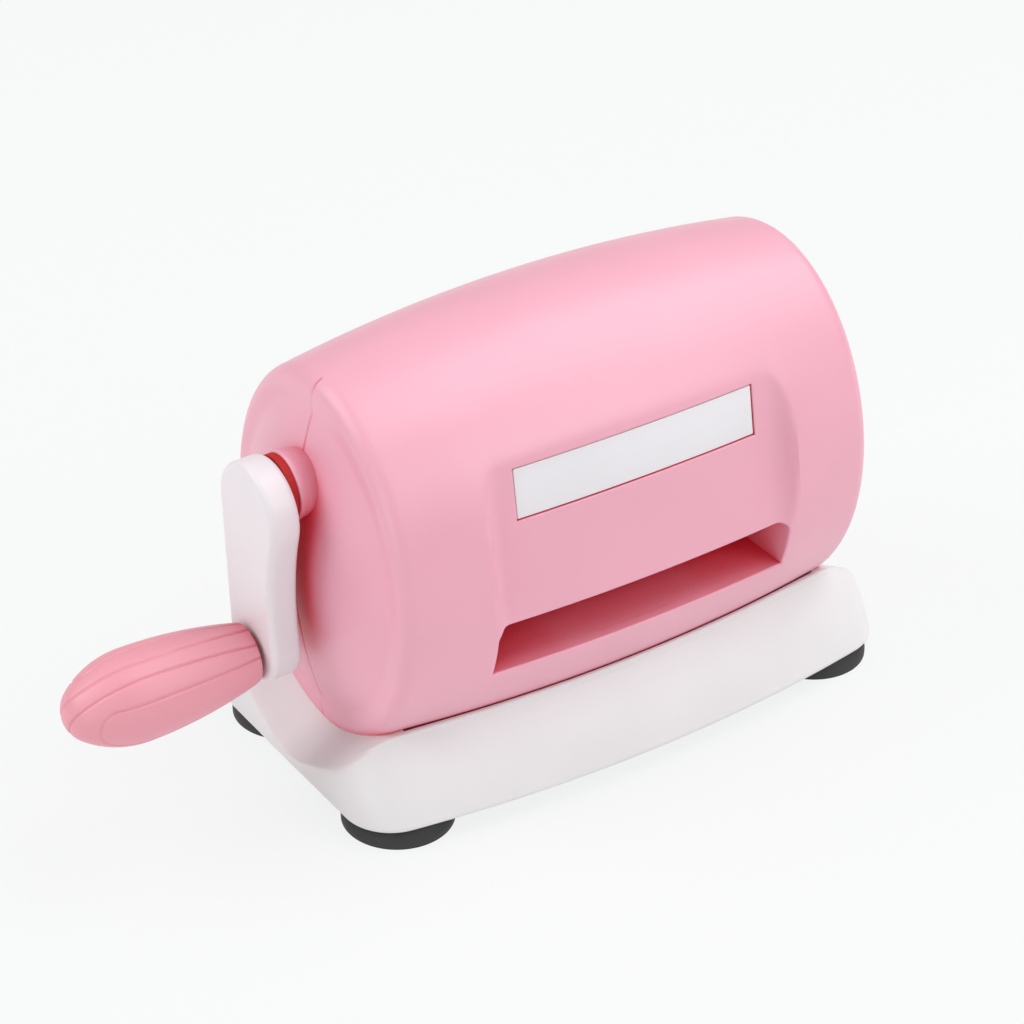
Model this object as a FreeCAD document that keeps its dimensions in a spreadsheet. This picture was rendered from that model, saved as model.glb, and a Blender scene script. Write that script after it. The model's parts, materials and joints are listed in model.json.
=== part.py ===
import FreeCAD, Part
import math
import os
import re
import Sketcher

# Hand-cranked die cutting machine. Millimetres; X runs along the barrel away from the crank,
# Y to the rear, Z up; the origin is the middle of the four feet on the table.

os.makedirs("parts", exist_ok=True)
Vec = FreeCAD.Vector
doc = FreeCAD.newDocument("die_cutting_machine")
sheet = doc.addObject("Spreadsheet::Sheet", "Sizes")

# Driving sizes
DRIVING = [
    ("barrel_length", 135, "housing, between the rims of its two ends"),
    ("barrel_height", 108, "housing, full height of the oval at the middle"),
    ("barrel_depth", 86.4, "housing, full depth of the oval at the middle"),
    ("barrel_axis", 61.6, "height of the middle of the oval"),
    ("barrel_drop", 5.5, "how much the half height falls from the middle to the rims"),
    ("rim_round", 4.8, "rounding of the rims"),
    ("crease_inset", 8.0, "from the rim in to the crease of the end"),
    ("dome_height", 6.5, "bulge of the ends"),
    ("dome_flat", 4.0, "radius of the flat in the middle of the ends"),
    ("shell_wall", 2.4, "housing wall"),
    ("shell_skirt", 13.6, "height of the lowest edge of the shells, at the ends"),
    ("shell_arch", 21.5, "height of the lower edge of the shells between the ends"),
    ("shell_arch_length", 116, "length of that edge"),
    ("seam_groove", 0.4, "width of the open seam on the ends"),
    ("slot_width", 84.8, "feed slot, for plates three inches wide"),
    ("slot_height", 13.8, "feed slot"),
    ("slot_corner", 3.0, "upper corners of the feed slot"),
    ("slot_drop", 5.7, "floor of the feed slot below the nip"),
    ("nip_height", 46, "height of the middle of the nip"),
    ("panel_depth", 41.0, "front panel, from the middle plane at the top of the slot"),
    ("panel_tilt", 9.5, "front panel, degrees it leans back"),
    ("panel_bow", 518, "front panel, radius of its bow along X"),
    ("panel_margin", 1.2, "front panel, how far it is wider than the slot on each side"),
    ("panel_round", 5.0, "front panel, hollow rounding of its sides"),
    ("label_length", 67.9, "label plate"),
    ("label_height", 12.8, "label plate"),
    ("label_thickness", 1.2, "label plate"),
    ("label_rise", 32.5, "middle of the label plate above the slot, along the panel"),
    ("label_sink", 0.4, "label plate below the panel"),
    ("label_gap", 0.25, "round the label plate"),
    ("gear_module", 1.0, "all gears"),
    ("pinion_teeth", 22, "crank pinion"),
    ("gear_teeth", 28, "roller gears"),
    ("gear_width", 8.0, "all gears"),
    ("roller_radius", 10, "both rollers"),
    ("shaft_radius", 4.0, "roller journals and crank shaft"),
    ("shaft_flat", 3.2, "flat of the shafts, from their axis"),
    ("bush_radius", 6.0, "all bushes"),
    ("bush_flange", 8.0, "radius of the bush flanges"),
    ("clip_radius", 6.2, "retaining clips"),
    ("clip_thickness", 0.8, "retaining clips"),
    ("groove_radius", 3.2, "bottom of the clip grooves"),
    ("running_fit", 0.05, "radial play of a shaft in its bush"),
    ("end_play", 0.3, "play between faces that turn past each other"),
    ("seam_gap", 0.15, "between the shells and the base"),
    ("frame_width", 90, "between the side plates"),
    ("plate_thickness", 2.0, "side plates"),
    ("plate_width", 42, "side plates"),
    ("plate_top", 97, "height of the side plates"),
    ("flange_length", 12, "feet of the side plates"),
    ("tie_bar_radius", 3.5, "tie bars"),
    ("upper_bar_offset", 16, "upper tie bars from the middle plane"),
    ("upper_bar_height", 84, "upper tie bars"),
    ("lower_bar_offset", 17, "lower tie bars from the middle plane"),
    ("lower_bar_height", 14, "lower tie bars"),
    ("crank_throw", 43, "crank axis to grip axis"),
    ("boss_radius", 7.6, "crank boss at the housing"),
    ("boss_face_radius", 8.8, "crank boss at its face"),
    ("boss_reach", 8.7, "crank boss, from the rim of the housing"),
    ("washer_radius", 8.2, "thrust washer"),
    ("arm_gap", 2.0, "between crank boss and arm"),
    ("arm_thickness", 8.0, "crank arm"),
    ("arm_hub_radius", 12.4, "crank arm, upper end"),
    ("arm_hub_drop", 4.0, "crank arm, middle of the upper end below the crank axis"),
    ("arm_end_radius", 10.5, "crank arm, lower end"),
    ("arm_end_rise", 3.0, "crank arm, middle of the lower end above the grip axis"),
    ("arm_waist_radius", 70, "crank arm, hollow of the front edge"),
    ("arm_round", 1.6, "crank arm, rounding of its edges"),
    ("arm_socket", 6.0, "depth of the holes in the arm"),
    ("grip_gap", 1.3, "between arm and grip"),
    ("grip_length", 48.7, "grip"),
    ("grip_end_radius", 7.6, "grip at the arm"),
    ("grip_radius", 11.5, "grip at its thickest"),
    ("grip_belly", 30.5, "thickest place of the grip from its arm end"),
    ("grip_tip_radius", 8.0, "rounding of the free end"),
    ("grip_seam_angle", 32, "degrees the parting plane of the grip is turned"),
    ("grip_groove", 0.7, "width and depth of the finger grooves"),
    ("grip_groove_offset", 5.2, "finger grooves from the parting plane at the arm end"),
    ("grip_groove_slope", 3.0, "degrees the finger grooves spread"),
    ("spindle_radius", 3.0, "grip spindle"),
    ("spindle_head_radius", 5.2, "head of the spindle"),
    ("spindle_reach", 38, "spindle, from the arm to the end of its head"),
    ("spindle_head", 3.0, "length of the spindle head"),
    ("base_bottom", 5.0, "height of the lower edge of the base"),
    ("base_top", 25.2, "height of the upper edge of the base"),
    ("base_length", 155, "base at its lower edge"),
    ("base_width", 90.2, "base at its lower edge"),
    ("base_corner", 13, "base at its lower edge"),
    ("base_top_length", 152, "base at its upper edge"),
    ("base_top_width", 67, "base at its upper edge"),
    ("base_top_corner", 15, "base at its upper edge"),
    ("base_bow", 395, "radius of the long edges of the base"),
    ("base_wall", 2.5, "base"),
    ("saddle_width", 68, "hollows in the ends of the base"),
    ("saddle_bend", 8, "half width of the round floor of the hollows, between straight slopes"),
    ("saddle_rise", 1.7, "how much the round floor rises to its sides"),
    ("saddle_near", 65.4, "hollows in the ends, inner section from the middle"),
    ("saddle_near_floor", 14.8, "height of the lowest place of that section"),
    ("saddle_near_edge", 28.4, "height of the edges of that section"),
    ("saddle_far", 80, "hollows in the ends, outer section from the middle"),
    ("saddle_far_floor", 7.6, "height of the lowest place of that section"),
    ("saddle_far_edge", 21.3, "height of the edges of that section"),
    ("saddle_wall", 3.4, "base under the hollows, measured upright"),
    ("floor_thickness", 2.5, "base plate"),
    ("floor_gap", 0.2, "between base plate and base"),
    ("foot_pitch_long", 125, "feet along X"),
    ("foot_pitch_wide", 52.4, "feet along Y"),
    ("foot_radius", 13.9, "suction feet"),
    ("foot_neck", 4.0, "radius of the necks of the feet"),
    ("foot_head", 6.0, "radius of the heads of the feet"),
    ("screw_radius", 1.5, "all screws"),
    ("screw_head_radius", 2.8, "all screws"),
    ("screw_head_height", 1.8, "all screws"),
    ("screw_play", 0.2, "radial play in clearance holes"),
    ("post_radius", 4.0, "screw posts"),
    ("upper_post_x", 40, "upper shell screws"),
    ("upper_post_z", 97, "upper shell screws"),
    ("lower_post_x", 62, "lower shell screws"),
    ("lower_post_z", 46, "lower shell screws"),
    ("shell_screw_seat", 12, "heads of the shell screws from the parting plane"),
    ("shell_screw_length", 22, "shell screws, under the head"),
    ("housing_post_x", 61.6, "posts of the shells on the base plate"),
    ("housing_post_y", 8, "posts of the shells on the base plate"),
    ("base_post_x", 34, "posts of the base on the base plate"),
    ("base_post_y", 33, "posts of the base on the base plate"),
    ("frame_screw_y", 9.5, "screws of the side plates"),
    ("floor_screw_length", 10, "screws of the base plate, under the head"),
    ("grub_radius", 1.25, "grub screw of the arm"),
    ("grub_length", 6.0, "grub screw of the arm"),
]

# Sizes that follow from the driving ones
FOLLOWING = [
    ("rim_x", "barrel_length / 2"),
    ("upper_axis", "nip_height + gear_module * gear_teeth / 2"),
    ("lower_axis", "nip_height - gear_module * gear_teeth / 2"),
    ("crank_axis", "upper_axis + gear_module * (pinion_teeth + gear_teeth) / 2"),
    ("slot_floor", "nip_height - slot_drop"),
    ("slot_top", "slot_floor + slot_height"),
    ("boss_face", "rim_x + boss_reach"),
    ("arm_inner", "boss_face + arm_gap"),
    ("arm_outer", "arm_inner + arm_thickness"),
    ("grip_start", "arm_outer + grip_gap"),
    ("floor_height", "base_bottom + floor_thickness"),
    ("plate_inner", "frame_width / 2"),
    ("plate_outer", "plate_inner + plate_thickness"),
    ("bush_inner", "plate_inner - 1"),
    ("bush_outer", "plate_outer + 1"),
    ("gear_start", "bush_outer + end_play"),
    ("gear_end", "gear_start + gear_width"),
    ("wall_height", "base_top - base_bottom"),
    ("frame_screw_x", "plate_inner - flange_length / 2"),
    ("hole_radius", "screw_radius + screw_play"),
]

for row, (alias, size, note) in enumerate(DRIVING, start=1):
    sheet.set(f"A{row}", note)
    sheet.set(f"B{row}", str(size))
    sheet.setAlias(f"B{row}", alias)
for row, (alias, formula) in enumerate(FOLLOWING, start=1):
    sheet.set(f"D{row}", "=" + formula)
    sheet.setAlias(f"D{row}", alias)
doc.recompute()

NAMES = {entry[0] for entry in DRIVING} | {entry[0] for entry in FOLLOWING}
probe = doc.addObject("App::FeaturePython", "probe")
probe.addProperty("App::PropertyFloat", "Result")


def bound(text):
    """The expression text with every size named as a cell of the sheet."""
    return re.sub(r"[a-z_]+", lambda m: "Sizes." + m.group() if m.group() in NAMES else m.group(), text)


def number(text):
    """The value an expression has now."""
    probe.setExpression("Result", bound(text))
    probe.recompute()
    return probe.Result


# Sketches and turned or padded bodies
def new_sketch(body, role, offset="0"):
    sketch = body.newObject("Sketcher::SketchObject", body.Name + "_sketch")
    plane = [f for f in body.Origin.OriginFeatures if f.Role == role][0]
    sketch.AttachmentSupport = [(plane, "")]
    sketch.MapMode = "FlatFace"
    if offset != "0":
        sketch.setExpression("AttachmentOffset.Base.z", bound(offset))
    return sketch


def datum(sketch, constraint, text):
    index = sketch.addConstraint(constraint)
    sketch.setExpression(f"Constraints[{index}]", bound(text))


def pin(sketch, shape, spot, x, y):
    """Hold one point of a sketch at two bound coordinates."""
    for kind, text, axis in (("DistanceX", x, -2), ("DistanceY", y, -1)):
        if text == "0":
            sketch.addConstraint(Sketcher.Constraint("PointOnObject", shape, spot, axis))
        else:
            datum(sketch, Sketcher.Constraint(kind, -1, 1, shape, spot, number(text)), text)


def draw(sketch, corners):
    """A closed outline; a corner with two more coordinates starts an arc through that point."""
    points = [Vec(number(c[0]), number(c[1]), 0) for c in corners]
    ends = []
    for i, corner in enumerate(corners):
        start, stop = points[i], points[(i + 1) % len(points)]
        if len(corner) == 2:
            shape = sketch.addGeometry(Part.LineSegment(start, stop))
        else:
            middle = Vec(number(corner[2]), number(corner[3]), 0)
            shape = sketch.addGeometry(Part.Arc(start, middle, stop))
            mark = sketch.addGeometry(Part.Point(middle), True)
            pin(sketch, mark, 1, corner[2], corner[3])
            sketch.addConstraint(Sketcher.Constraint("PointOnObject", mark, 1, shape))
        first = 1 if sketch.getPoint(shape, 1).distanceToPoint(start) < 1e-6 else 2
        pin(sketch, shape, first, corner[0], corner[1])
        ends.append((shape, first, 3 - first))
    for (shape, _, last), (after, first, _) in zip(ends, ends[1:] + ends[:1]):
        sketch.addConstraint(Sketcher.Constraint("Coincident", shape, last, after, first))


def draw_circle(sketch, x, y, radius):
    circle = Part.Circle(Vec(number(x), number(y), 0), Vec(0, 0, 1), number(radius))
    shape = sketch.addGeometry(circle)
    pin(sketch, shape, 3, x, y)
    datum(sketch, Sketcher.Constraint("Radius", shape, number(radius)), radius)


def new_body(label, x="0", y="0", z="0", turn=None):
    body = doc.addObject("PartDesign::Body", label)
    place(body, x, y, z, turn)
    return body


def place(item, x="0", y="0", z="0", turn=None):
    """Place an object at bound coordinates, turned about X by a bound number of degrees."""
    if turn:
        item.Placement = FreeCAD.Placement(Vec(), FreeCAD.Rotation(Vec(1, 0, 0), number(turn)))
        item.setExpression("Placement.Rotation.Angle", bound(turn))
    for axis, text in zip("xyz", (x, y, z)):
        if text != "0":
            item.setExpression("Placement.Base." + axis, bound(text))


def pad(body, sketch, length, reverse=False, middle=False):
    feature = body.newObject("PartDesign::Pad", body.Name + "_pad")
    feature.Profile = sketch
    feature.setExpression("Length", bound(length))
    feature.Reversed = reverse
    feature.Midplane = middle
    return feature


def pocket(body, sketch, length=None, reverse=False):
    """A pocket of bound depth, or through everything both ways."""
    feature = body.newObject("PartDesign::Pocket", body.Name + "_pocket")
    feature.Profile = sketch
    feature.Reversed = reverse
    if length:
        feature.setExpression("Length", bound(length))
    else:
        feature.Type = "ThroughAll"
        feature.Midplane = True
    return feature


ROLE = {"X": "XZ_Plane", "Z": "XZ_Plane", "Y": "XY_Plane"}


def turned(label, axis, profile, x="0", y="0", z="0", angle=360, reverse=False):
    """A body turned about one axis; the profile gives (place along the axis, radius, ...) points."""
    body = new_body(label, x, y, z)
    sketch = new_sketch(body, ROLE[axis])
    if axis == "X":
        draw(sketch, profile)
    else:
        draw(sketch, [tuple(p[i ^ 1] for i in range(len(p))) for p in profile])
    feature = body.newObject("PartDesign::Revolution", label + "_turned")
    feature.Profile = sketch
    feature.ReferenceAxis = (sketch, ["H_Axis" if axis == "X" else "V_Axis"])
    feature.Angle = angle
    feature.Reversed = reverse
    return body


def ring(label, axis, start, stop, inner, outer, x="0", y="0", z="0"):
    profile = [(start, inner), (start, outer), (stop, outer), (stop, inner)]
    return turned(label, axis, profile, x, y, z)


# Solids and how they are joined
TURN_TO = {
    "X": FreeCAD.Rotation(Vec(0, 1, 0), 90),
    "Y": FreeCAD.Rotation(Vec(1, 0, 0), -90),
    "Z": FreeCAD.Rotation(),
}


def block(name, x, y, z):
    """A box between two bound places on each axis."""
    item = doc.addObject("Part::Box", name)
    for side, axis, (low, high) in zip(("Length", "Width", "Height"), "xyz", (x, y, z)):
        item.setExpression(side, bound(f"({high}) - ({low})"))
        item.setExpression("Placement.Base." + axis, bound(low))
    return item


def rod(name, axis, start, stop, radius, x="0", y="0", z="0"):
    """A cylinder between two bound places along an axis."""
    item = doc.addObject("Part::Cylinder", name)
    item.Placement = FreeCAD.Placement(Vec(), TURN_TO[axis])
    item.setExpression("Height", bound(f"({stop}) - ({start})"))
    item.setExpression("Radius", bound(radius))
    spot = {"x": x, "y": y, "z": z, axis.lower(): start}
    for name_of_axis, text in spot.items():
        item.setExpression("Placement.Base." + name_of_axis, bound(text))
    return item


def fuse(name, *pieces):
    item = doc.addObject("Part::MultiFuse", name)
    item.Shapes = list(pieces)
    return item


def common(name, *pieces):
    item = doc.addObject("Part::MultiCommon", name)
    item.Shapes = list(pieces)
    return item


def cut(name, base, *tools):
    """Take the tools away one after another; the last step carries the name."""
    for i, tool in enumerate(tools, start=1):
        item = doc.addObject("Part::Cut", name if i == len(tools) else f"{name}_step_{i}")
        item.Base = base
        item.Tool = tool
        base = item
    return base


def group(name, pieces):
    item = doc.addObject("Part::Compound", name)
    item.Links = list(pieces)
    return item


SIDES = (("left", "-1"), ("right", "1"))
ENDS = (("front", "-1"), ("rear", "1"))
CORNERS = [(f"{end}_{side}", sx, sy) for end, sy in ENDS for side, sx in SIDES]


# Oval barrel: a turned form squeezed in depth
def barrel(name, grow, angle=360, reverse=False):
    """The barrel grown by a bound amount on every side, whole or as its front or rear half."""
    rim = f"(rim_x + {grow})"
    top = f"(barrel_height / 2 + {grow})"
    edge = f"({top} - barrel_drop)"
    crease = f"({edge} - crease_inset)"
    ball = f"(({crease} ^ 2 + dome_height ^ 2) / (2 * dome_height))"
    swell = f"(sqrt({ball} ^ 2 - {crease} ^ 2 / 4) - {ball} + dome_height)"
    form = turned(name + "_form", "X", [
        (f"-{rim} - dome_height", "0"),
        (f"-{rim} - dome_height", "dome_flat", f"-{rim} - {swell}", f"{crease} / 2"),
        (f"-{rim}", crease),
        (f"-{rim}", edge, "0", top),
        (rim, edge),
        (rim, crease, f"{rim} + {swell}", f"{crease} / 2"),
        (f"{rim} + dome_height", "dome_flat"),
        (f"{rim} + dome_height", "0"),
    ], angle=angle, reverse=reverse)
    doc.recompute()
    turned_form = form.Tip
    rims = []
    for i, line in enumerate(turned_form.Shape.Edges, start=1):
        if isinstance(line.Curve, Part.Circle) and abs(line.Curve.Radius - number(edge)) < 1e-6:
            rims.append(f"Edge{i}")
    rounding = form.newObject("PartDesign::Fillet", name + "_rims")
    rounding.Base = (turned_form, rims)
    rounding.setExpression("Radius", bound(f"rim_round + {grow}"))
    squeezed = doc.addObject("Part::Scale", name)
    squeezed.Base = form
    squeezed.Uniform = False
    squeezed.XScale = 1
    squeezed.ZScale = 1
    squeezed.setExpression("YScale", bound(f"(barrel_depth / 2 + {grow}) / {top}"))
    place(squeezed, z="barrel_axis")
    return squeezed


barrel_seat = barrel("barrel_seat", "seam_gap")

# Feed slot, straight through both shells
slot = new_body("slot")
side = "slot_width / 2"
bend = "slot_corner * 0.2929"
slot_sketch = new_sketch(slot, "XZ_Plane")
draw(slot_sketch, [
    (f"-{side}", "slot_floor"),
    (side, "slot_floor"),
    (side, "slot_top - slot_corner", f"{side} - {bend}", f"slot_top - {bend}"),
    (f"{side} - slot_corner", "slot_top"),
    (f"-{side} + slot_corner", "slot_top", f"-{side} + {bend}", f"slot_top - {bend}"),
    (f"-{side}", "slot_top - slot_corner"),
])
pad(slot, slot_sketch, "2 * barrel_depth", middle=True)

# Front panel: a cut bowed like the barrel, with hollow sides, leaning back from the top of the slot
panel_place = {"y": "-panel_depth", "z": "slot_top", "turn": "-panel_tilt"}
panel = new_body("panel", **panel_place)


def dip(x):
    """How far the bow of the panel falls back at x."""
    return f"(panel_bow - sqrt(panel_bow ^ 2 - {x} ^ 2))"


side = "(slot_width / 2 + panel_margin)"
bend = "panel_round * 0.2929"
floor_end = f"({side} - panel_round)"
floor = dip(floor_end)
panel_sketch = new_sketch(panel, "XY_Plane", "-slot_height / cos(panel_tilt)")
draw(panel_sketch, [
    (f"-{side}", "-barrel_depth / 2"),
    (side, "-barrel_depth / 2"),
    (side, f"{floor} - panel_round", f"{side} - {bend}", f"{floor} - {bend}"),
    (floor_end, floor, "0", "0"),
    (f"-{floor_end}", floor, f"-{side} + {bend}", f"{floor} - {bend}"),
    (f"-{side}", f"{floor} - panel_round"),
])
pad(panel, panel_sketch, "slot_height + barrel_height / 2")


def bowed_slab(name, grow, front, back):
    """The label plate grown by a bound amount round its edge, between two depths behind the panel."""
    slab = new_body(name, **panel_place)
    across = f"(label_length / 2 + {grow})"
    sketch = new_sketch(slab, "XY_Plane", f"label_rise - label_height / 2 - {grow}")
    draw(sketch, [
        (f"-{across}", f"{dip(across)} + {front}", "0", front),
        (across, f"{dip(across)} + {front}"),
        (across, f"{dip(across)} + {back}", "0", back),
        (f"-{across}", f"{dip(across)} + {back}"),
    ])
    pad(slab, sketch, f"label_height + 2 * {grow}")
    return slab


label_back = "(label_sink + label_thickness)"
bowed_slab("label_plate", "0", "label_sink", label_back)
label_recess = bowed_slab("label_recess", "label_gap", "-1", label_back)

# Wall behind the panel and tunnel round the slot
backing = new_body("backing", **panel_place)
side = "(slot_width / 2 + panel_margin + shell_wall)"
back = f"{label_back} + shell_wall"
backing_sketch = new_sketch(backing, "XY_Plane", "-slot_height")
draw(backing_sketch, [
    (f"-{side}", "-panel_depth"),
    (side, "-panel_depth"),
    (side, f"{dip(side)} + {back}", "0", back),
    (f"-{side}", f"{dip(side)} + {back}"),
])
pad(backing, backing_sketch, "slot_height + barrel_height / 2")


def tunnel(name, near, far):
    across = "(slot_width / 2 + 2)"
    return block(name, (f"-{across}", across), (near, far), ("slot_floor - 2", "slot_top + 2"))


tunnel_mouth = "roller_radius + 3"

# Crank boss, split between the shells
boss_cone = turned("boss_cone", "X", [
    ("-boss_face", "0"),
    ("-boss_face", "boss_face_radius"),
    ("-rim_x - 2", "boss_radius"),
    ("-rim_x + shell_wall + 1", "boss_face_radius"),
    ("-rim_x + shell_wall + 1", "0"),
], z="crank_axis")
boss_bore = rod(
    "boss_bore", "X", "-boss_face - 1", "-rim_x + shell_wall + 2", "bush_radius", z="crank_axis",
)

# Open seam down both ends
seam_tools = []
for side_name, reach in (("left", ("-barrel_length", "-rim_x + shell_wall + 1")),
                         ("right", ("rim_x - shell_wall - 1", "barrel_length"))):
    seam_tools.append(block(
        f"{side_name}_seam",
        reach,
        ("-seam_groove / 2", "seam_groove / 2"),
        ("0", "barrel_axis + barrel_height"),
    ))


# Shells
def shell(end, sign):
    """One half of the housing, in front of or behind the parting plane."""
    rear = sign == "1"
    span = ("0", "barrel_depth") if rear else ("-barrel_depth", "0")
    outside = barrel(f"{end}_outside", "0", 180, rear)
    inside = barrel(f"{end}_inside", "-shell_wall", 180, rear)
    whole = ("-barrel_length", "barrel_length")
    skirt = block(f"{end}_skirt", whole, whole, ("0", "shell_skirt"))
    arch_span = ("-shell_arch_length / 2", "shell_arch_length / 2")
    arch = block(f"{end}_arch", arch_span, whole, ("0", "shell_arch"))
    inner = []
    holes = []
    for side_name, sx in SIDES:
        for level in ("upper", "lower"):
            spot = {"x": f"{sx} * {level}_post_x", "z": f"{level}_post_z"}
            tag = f"{end}_{level}_{side_name}"
            inner.append(rod(f"{tag}_post", "Y", *span, "post_radius", **spot))
            if rear:
                holes.append(rod(f"{tag}_hole", "Y", "-1", "barrel_depth", "hole_radius", **spot))
                holes.append(rod(
                    f"{tag}_seat", "Y", "shell_screw_seat", "barrel_depth",
                    "screw_head_radius + screw_play", **spot,
                ))
            else:
                tip = "shell_screw_seat - shell_screw_length - 1"
                holes.append(rod(f"{tag}_hole", "Y", tip, "1", "screw_radius", **spot))
    if rear:
        inner.append(tunnel("rear_tunnel", tunnel_mouth, "barrel_depth / 2"))
    else:
        inner.append(backing)
        inner.append(tunnel("front_tunnel", "-panel_depth - 3", f"-({tunnel_mouth})"))
        holes += [panel, label_recess]
    cavity = cut(f"{end}_cavity", inside, *inner)
    wall = cut(f"{end}_wall", outside, cavity, skirt, arch)
    boss = common(f"{end}_boss", boss_cone, block(f"{end}_half", whole, span, ("0", "2 * barrel_height")))
    posts = []
    for side_name, sx in SIDES:
        spot = {"x": f"{sx} * housing_post_x", "y": f"{sign} * housing_post_y"}
        tag = f"{end}_{side_name}"
        foot_top = "shell_arch + 8"
        posts.append(rod(f"{tag}_foot", "Z", "floor_height", foot_top, "post_radius - 0.5", **spot))
        top = "floor_height - floor_thickness + floor_screw_length + 1"
        holes.append(rod(f"{tag}_foot_hole", "Z", "floor_height - 1", top, "screw_radius", **spot))
    solid = fuse(f"{end}_solid", wall, boss, *posts)
    cut(f"{end}_shell", solid, slot, boss_bore, *seam_tools, *holes)


shell("front", "-1")
shell("rear", "1")


# Base: a sloping wall lofted between two bowed outlines
def bowed_outline(sketch, length, width, corner):
    """A rectangle with bowed long edges and round corners, every join smooth."""
    half = number(f"({length}) / 2")
    deep = number(f"({width}) / 2")
    turn = number(corner)
    bow = number("base_bow")
    lift = bow - deep
    corner_y = math.sqrt((bow - turn) ** 2 - (half - turn) ** 2) - lift
    reach = bow / (bow - turn)
    join = Vec((half - turn) * reach, (corner_y + lift) * reach - lift, 0)
    across = Vec(half - turn, corner_y, 0)
    bisector = (join - across).normalize() + Vec(1, 0, 0)
    middle = across + bisector.normalize() * turn

    def at(point, sx, sy):
        return Vec(point.x * sx, point.y * sy, 0)

    side_point = Vec(half, corner_y, 0)
    edges = []
    for sx, sy in ((1, 1), (-1, 1), (-1, -1), (1, -1)):
        edges.append(Part.Arc(at(side_point, sx, sy), at(middle, sx, sy), at(join, sx, sy)))
    for sy in (1, -1):
        edges.append(Part.Arc(at(join, 1, sy), Vec(0, deep * sy, 0), at(join, -1, sy)))
    for sx in (1, -1):
        edges.append(Part.LineSegment(at(side_point, sx, 1), at(side_point, sx, -1)))
    shapes = [sketch.addGeometry(edge) for edge in edges]

    def spot(shape, point):
        return 1 if sketch.getPoint(shape, 1).distanceToPoint(point) < 1e-6 else 2

    def smooth(one, other, point):
        sketch.addConstraint(
            Sketcher.Constraint("Tangent", one, spot(one, point), other, spot(other, point)))

    for i, (sx, sy) in enumerate(((1, 1), (-1, 1), (-1, -1), (1, -1))):
        smooth(shapes[i], shapes[4 if sy > 0 else 5], at(join, sx, sy))
        smooth(shapes[i], shapes[6 if sx > 0 else 7], at(side_point, sx, sy))
        datum(sketch, Sketcher.Constraint("Radius", shapes[i], turn), corner)
    for shape, sign in ((shapes[4], -1), (shapes[5], 1)):
        datum(sketch, Sketcher.Constraint("Radius", shape, bow), "base_bow")
        pin(sketch, shape, 3, "0", f"{sign} * (base_bow - ({width}) / 2)")
    for shape, sign in ((shapes[6], 1), (shapes[7], -1)):
        sketch.addConstraint(Sketcher.Constraint("Vertical", shape))
        text = f"{sign} * ({length}) / 2"
        datum(sketch, Sketcher.Constraint("DistanceX", -1, 1, shape, 1, number(text)), text)


def ruled_loft(body, sketches):
    feature = body.newObject("PartDesign::AdditiveLoft", body.Name + "_loft")
    feature.Profile = sketches[0]
    feature.Sections = sketches[1:]
    feature.Ruled = True


def lofted(name, low, high):
    """A solid between two bowed outlines, each given as (height, length, width, corner)."""
    body = new_body(name)
    sketches = []
    for height, length, width, corner in (low, high):
        sketch = new_sketch(body, "XY_Plane", height)
        bowed_outline(sketch, length, width, corner)
        sketches.append(sketch)
    ruled_loft(body, sketches)
    return body


def saddle(name, sx, sink):
    """The hollow in one end of the base that follows the barrel, let down by a bound amount."""
    body = new_body(name)
    sketches = []
    for section in ("near", "far"):
        sketch = new_sketch(body, "YZ_Plane", f"{sx} * saddle_{section}")
        edge = f"saddle_{section}_edge - {sink}"
        floor = f"saddle_{section}_floor - {sink}"
        draw(sketch, [
            ("-saddle_width / 2", edge),
            ("-saddle_bend", f"{floor} + saddle_rise", "0", floor),
            ("saddle_bend", f"{floor} + saddle_rise"),
            ("saddle_width / 2", edge),
            ("saddle_width / 2", "barrel_axis"),
            ("-saddle_width / 2", "barrel_axis"),
        ])
        sketches.append(sketch)
    ruled_loft(body, sketches)
    return body


base_outside = lofted(
    "base_outside",
    ("base_bottom", "base_length", "base_width", "base_corner"),
    ("base_top", "base_top_length", "base_top_width", "base_top_corner"),
)
lost_length = "(base_length - base_top_length) / wall_height"
lost_width = "(base_width - base_top_width) / wall_height"
base_inside = lofted(
    "base_inside",
    (
        "base_bottom",
        "base_length - 2 * base_wall",
        "base_width - 2 * base_wall",
        "base_corner - base_wall",
    ),
    (
        "base_top - base_wall",
        f"base_top_length + ({lost_length} - 2) * base_wall",
        f"base_top_width + ({lost_width} - 2) * base_wall",
        "base_top_corner - base_wall",
    ),
)
hollows = [saddle(f"{side_name}_saddle", sx, "0") for side_name, sx in SIDES]
roofs = [saddle(f"{side_name}_saddle_roof", sx, "saddle_wall") for side_name, sx in SIDES]
base_form = cut("base_form", base_outside, *hollows)
base_room = cut("base_room", base_inside, *roofs)
base_wall_ring = cut("base_wall_ring", base_form, base_room)
base_posts = []
base_holes = []
for corner_name, sx, sy in CORNERS:
    spot = {"x": f"{sx} * base_post_x", "y": f"{sy} * base_post_y"}
    tag = f"{corner_name}_base"
    base_posts.append(rod(f"{tag}_post", "Z", "floor_height", "base_top", "post_radius", **spot))
    hole_top = "base_bottom + floor_screw_length + 1"
    base_holes.append(rod(f"{tag}_hole", "Z", "base_bottom", hole_top, "screw_radius", **spot))
base_lining = common("base_lining", base_outside, fuse("base_post_set", *base_posts))
cut("base", fuse("base_solid", base_wall_ring, base_lining), barrel_seat, *base_holes)

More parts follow.
